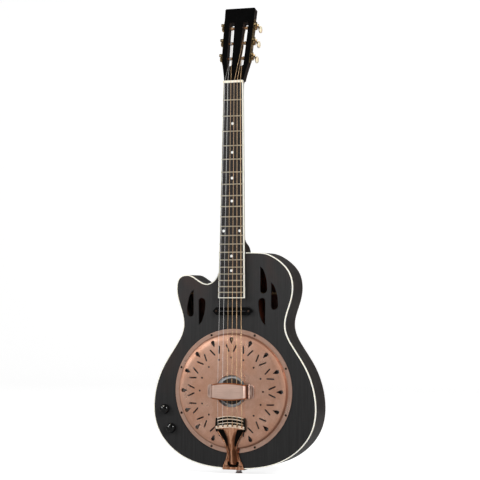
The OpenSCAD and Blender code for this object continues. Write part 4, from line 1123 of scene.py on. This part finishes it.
def tuner_button(k):
    """Oval button with full faces, pinched to a neck where the shaft enters."""
    rings = []
    stations = 22
    for i in range(stations + 1):
        t = i / stations
        a = pi * t
        along = BUTTON_FROM + BUTTON_LENGTH * (1 - cos(a)) / 2
        wide = BUTTON_WIDTH / 2 * max(0.02, sin(a)) ** 0.86
        neck = 2.7 * (1 - eased(t, 0.0, 0.22))
        wide = max(wide, neck)
        thick = max(BUTTON_THICK / 2 * max(0.02, sin(a)) ** 0.5, neck * 0.95)
        ring = []
        for j in range(32):
            b = 2 * pi * j / 32
            c, s = cos(b), sin(b)
            dish = 1 - 0.16 * (1 - abs(c)) * sin(a)
            ring.append((thick * dish * bent(s, 0.72), wide * bent(c, 0.9), along))
        rings.append(ring)
    collar = lathe([(1.6, 16.9), (2.7, 17.0), (2.9, 17.6), (2.7, 18.3), (2.4, 19.4)], 28)
    build(f"pearl_button_{k}", *join(loft(rings), collar), "button", [f"button_{k}"], body=f"tuner_{k}_key",
          slot="buttons", at=worm_frame(k), edge=0)


for k in range(1, 7):
    worm(k)
    tuner_button(k)

# ---------------------------------------------------------------- controls and strap button


def knob(name, node):
    """Turned knob: a smooth domed top, a soft shoulder and fine flutes round its skirt."""
    corner_low, corner_high = low(node), high(node)
    x, z = (corner_low.x + corner_high.x) / 2, (corner_low.z + corner_high.z) / 2
    radius = (corner_high.x - corner_low.x) / 2
    top = FACE_Y - corner_low.y
    profile = [(radius - 1.0, 1.0), (radius - 0.15, 1.3), (radius, 1.9), (radius, 4.6), (radius - 0.1, 6.2),
               (radius - 0.55, top - 4.9), (radius - 1.4, top - 3.6), (radius - 2.6, top - 2.6),
               (radius - 4.4, top - 1.6), (radius - 6.6, top - 0.8), (0.5, top - 0.1)]
    steps = 144
    rings = []
    for r, h in profile:
        deep = 0.32 if 1.5 < h < 6.5 else 0.0
        ring = circle(1, steps, h)
        rings.append([((r - deep * (j % 4 in (0, 1))) * x1, (r - deep * (j % 4 in (0, 1))) * y1, h)
                      for j, (x1, y1, _) in enumerate(ring)])
    place = forward_from(x, z)
    build(name + "_dial", *loft(rings), "knob", [node], body=name, slot="knobs", at=place, edge=0)
    dot = lathe([(0.1, 0.35), (0.8, 0.3), (0.95, 0.0), (0.95, -0.4)], 20)
    mark = placed(dot, shift(0, radius - 3.4, top - 2.2) @ turn(-28, "X"))
    build(name + "_pointer", *mark, "bone", body=name, slot="knobs", at=place)


def pickup_blade():
    """Thin steel blade standing just proud of the pickup's cover, with rounded ends."""
    x, z, top = 33, (low("pickup").z + high("pickup").z) / 2, FACE_Y - low("pickup").y
    path = [(-x + 2 * x * i / 12, 0, top - 0.25) for i in range(13)]
    shape = tube(path, [0.2, 0.42] + [0.45] * 9 + [0.42, 0.2], 10)
    build("pickup_blade", *shape, "blade", slot="pickup", at=forward_from(0, z))


pickup_blade()
knob("volume", "volume_knob")
knob("tone", "tone_knob")


def strap_button():
    """Chromed end button around the jack: a rounded base, a waist and a dished flange."""
    profile = [(4.65, 1.65), (6.2, 1.65), (6.75, 1.85), (6.8, 2.4), (6.2, 2.9), (5.7, 3.5), (5.55, 5.0), (5.55, 7.2),
               (5.65, 8.4), (6.1, 9.2), (6.9, 9.75), (7.45, 10.0), (7.6, 10.45), (7.5, 11.0), (7.0, 11.45),
               (6.2, 11.65), (5.2, 11.5), (4.6, 11.0), (3.6, 10.7), (3.3, 10.2), (3.3, 2.0)]
    shape = loft([circle(r, 96, h) for r, h in profile] + [circle(4.65, 96, 1.65)], caps=False)
    build("strap_button_turned", *shape, "chrome", ["strap_button"], at=turn(180, "X"), edge=0)


strap_button()

# ---------------------------------------------------------------- neck


def half_oval(half, deep, power, steps=28):
    """Closed ring: flat across the board's underside, rounded behind."""
    return [(half * bent(cos(a), 2 / power), deep * abs(sin(a)) ** (2 / power))
            for a in [pi * j / steps for j in range(steps + 1)]]


def board_half(z):
    return NUT_WIDTH / 2 + (NUT_Z - z) * (BOARD_WIDTH - NUT_WIDTH) / 2 / (NUT_Z - BOARD_END)


def neck_depth(z):
    """Depth of the wood behind the board: heel, shaft and the swell under the nut."""
    return between(z, [(284.5, 64), (289, 62.8), (294, 60), (299, 55.5), (303, 49.5), (306.5, 42.5), (309.5, 34.5),
                       (312.5, 28), (316, 23.4), (322, 20.8), (336, 19.2), (400, 18.4), (560, 16.2), (632, 15.5),
                       (655, 15.2)])


def neck_shaft():
    rings = []
    for z in [284.5, 286, 288, 290, 292, 294.5, 297, 299.5, 302, 304.5, 307, 310, 313, 317, 321, 326, 332, 345, 370,
              400, 440, 480, 520, 560, 600, 620, 632, 640, 647]:
        heel = 1 - eased(z, 300, 319)
        power = 2 + 1.9 * heel + 0.5 * eased(z, 625, 655)
        ring = half_oval(board_half(z), neck_depth(z), power)
        rings.append([NECK_FRAME @ Vector((x, BOARD_THICK + y, z)) for x, y in ring])
    for u, half in [(4, 22.6), (10, 23.4), (16, 24.4), (22, 25.6)]:
        share = eased(u, -6, 20)
        ring = half_oval(half, HEAD_WOOD * share + 15.4 * (1 - share), 2.5 + 7 * share)
        rings.append([HEAD_FRAME @ Vector((x, y, u)) for x, y in ring])
    return rings


def neck():
    points, faces = loft(neck_shaft())
    kept = [(x, min(y, BACK_Y - 4) if z < BODY_TOP_Z else y, z) for x, y, z in points]
    build("neck_carved", *join((kept, faces), head_block()), "neck", ["neck"], edge=0.3)


def head_outline():
    right = [(22.4, 2), (23, 8), (25.2, 20), (27.6, 31), (29.6, 40)]
    lean = sin(radians(SIDE_TAPER))
    right += [(SIDE_X - (SIDE_U - u) * lean, u) for u in (46, 60, 80, 100, 120, 140, HEAD_LENGTH - 2)]
    right.append((SIDE_X + (HEAD_LENGTH - SIDE_U) * lean - 2, HEAD_LENGTH))
    return right + [(-x, u) for x, u in reversed(right)]


def head_slot(s):
    """Slot with rounded ends, leaning with the head's side face."""
    half = SLOT_WIDTH / 2
    ring = arc_points((0, SLOT_HIGH - half), half, 0, 180, 10)
    ring += arc_points((0, SLOT_LOW + half), half, 180, 360, 10)
    lean = radians(SIDE_TAPER) * s
    middle = s * (SIDE_X - SLOT_CENTRE)
    return [(middle + x * cos(lean) + w * sin(lean), SIDE_U - x * sin(lean) + w * cos(lean)) for x, w in ring]


def block(outline, holes, front, back):
    """Solid between two heights with straight walls; heights are measured back from the head's face."""
    flat, faces = triangulated([outline] + holes, [])
    count = len(flat)
    points = [(x, front, u) for x, u in flat] + [(x, back, u) for x, u in flat]
    walls = faces + [tuple(count + i for i in reversed(face)) for face in faces]
    start = 0
    for ring in [outline] + holes:
        size = len(ring)
        for i in range(size):
            a, b = start + i, start + (i + 1) % size
            walls.append((a, b, count + b, count + a))
        start += size
    return points, walls


def head_block():
    holes = [head_slot(1), head_slot(-1)]
    return placed(block(head_outline(), holes, 0, HEAD_WOOD), HEAD_FRAME)


neck()

# ---------------------------------------------------------------- stage, light and camera

FLOOR_Z = cad_box[0].z
ROOM_FRONT = 0.06
ROOM_BACK = 0.40
PAPER_GLOW = 0.85
WHITE = 1.05


def stage_floor():
    """A pale sweep that runs level under the guitar and rises behind it."""
    half, bend, back, steps = 6.0, 1.5, 3.0, 16
    profile = [(-half, FLOOR_Z), (back, FLOOR_Z)]
    profile += [(back + bend * sin(a), FLOOR_Z + bend * (1 - cos(a)))
                for a in [0.5 * pi * i / steps for i in range(1, steps + 1)]]
    profile.append((back + bend, FLOOR_Z + half))
    points = [(x, y, z) for y, z in profile for x in (-half, half)]
    mesh = bpy.data.meshes.new("floor")
    mesh.from_pydata(points, [], grid(len(profile), 2))
    mesh.shade_smooth()
    floor = bpy.data.objects.new("floor", mesh)
    bpy.context.scene.collection.objects.link(floor)
    paint = Paint("paper", Roughness=0.9, Specular_IOR_Level=0.1)
    fibre = paint.grain(200, detail=4)
    paint.set(Base_Color=paint.mix(fibre, (0.50, 0.50, 0.50), (0.54, 0.54, 0.54)))
    seen = paint.node("ShaderNodeLightPath").outputs["Is Camera Ray"]
    paint.set(Emission_Color=(1.0, 1.0, 1.0), Emission_Strength=paint.times(seen, PAPER_GLOW))
    mesh.materials.append(paint.material)


def studio_world():
    """White seen by the camera; the guitar is lit by a room that is dark in front and bright behind."""
    world = bpy.data.worlds.new("studio")
    world.use_nodes = True
    bpy.context.scene.world = world
    tree = world.node_tree
    parts = add_node(tree, "ShaderNodeSeparateXYZ",
                     {0: add_node(tree, "ShaderNodeTexCoord").outputs["Generated"]})
    room = add_node(tree, "ShaderNodeMapRange", {0: parts.outputs["Y"], 1: -0.5, 2: 0.6, 3: ROOM_FRONT, 4: ROOM_BACK},
                    interpolation_type="SMOOTHSTEP")
    seen = add_node(tree, "ShaderNodeLightPath").outputs["Is Camera Ray"]
    strength = add_node(tree, "ShaderNodeMix", {0: seen, 2: room.outputs[0], 3: WHITE})
    background = tree.nodes["Background"]
    feed(tree, background.inputs["Color"], (1, 1, 1))
    feed(tree, background.inputs["Strength"], strength.outputs[0])


def soft_light(name, place, target, size, watts):
    light = bpy.data.lights.new(name, "AREA")
    light.shape = "RECTANGLE"
    light.size = size[0]
    light.size_y = size[1]
    light.energy = watts
    lamp = bpy.data.objects.new(name, light)
    bpy.context.scene.collection.objects.link(lamp)
    lamp.location = place
    lamp.rotation_euler = (Vector(target) - Vector(place)).to_track_quat("-Z", "Y").to_euler()


def add_camera():
    """Stands to the right of the guitar, level with its waist, and looks a little upward."""
    place = Vector((1.1822, -3.2726, 0.3681))
    forward = Vector((-0.3390, 0.9402, 0.0335))
    camera = bpy.data.cameras.new("camera")
    camera.lens = 122
    camera.sensor_width = 36
    camera.clip_end = 50
    view = bpy.data.objects.new("camera", camera)
    bpy.context.scene.collection.objects.link(view)
    view.matrix_world = Matrix.Translation(place) @ forward.to_track_quat("-Z", "Y").to_matrix().to_4x4()
    bpy.context.scene.camera = view


stage_floor()
studio_world()
soft_light("front_box", (-1.25, -3.3, 1.12), (0, 0, 0.5), (2.2, 1.35), 7.2)
soft_light("key", (2.2, -2.0, 1.7), (0, 0, 0.45), (1.0, 1.4), 110)
soft_light("fill", (-2.6, -2.2, 1.6), (0, 0, 0.45), (1.2, 1.2), 50)
add_camera()
bpy.context.scene.view_settings.view_transform = "Standard"
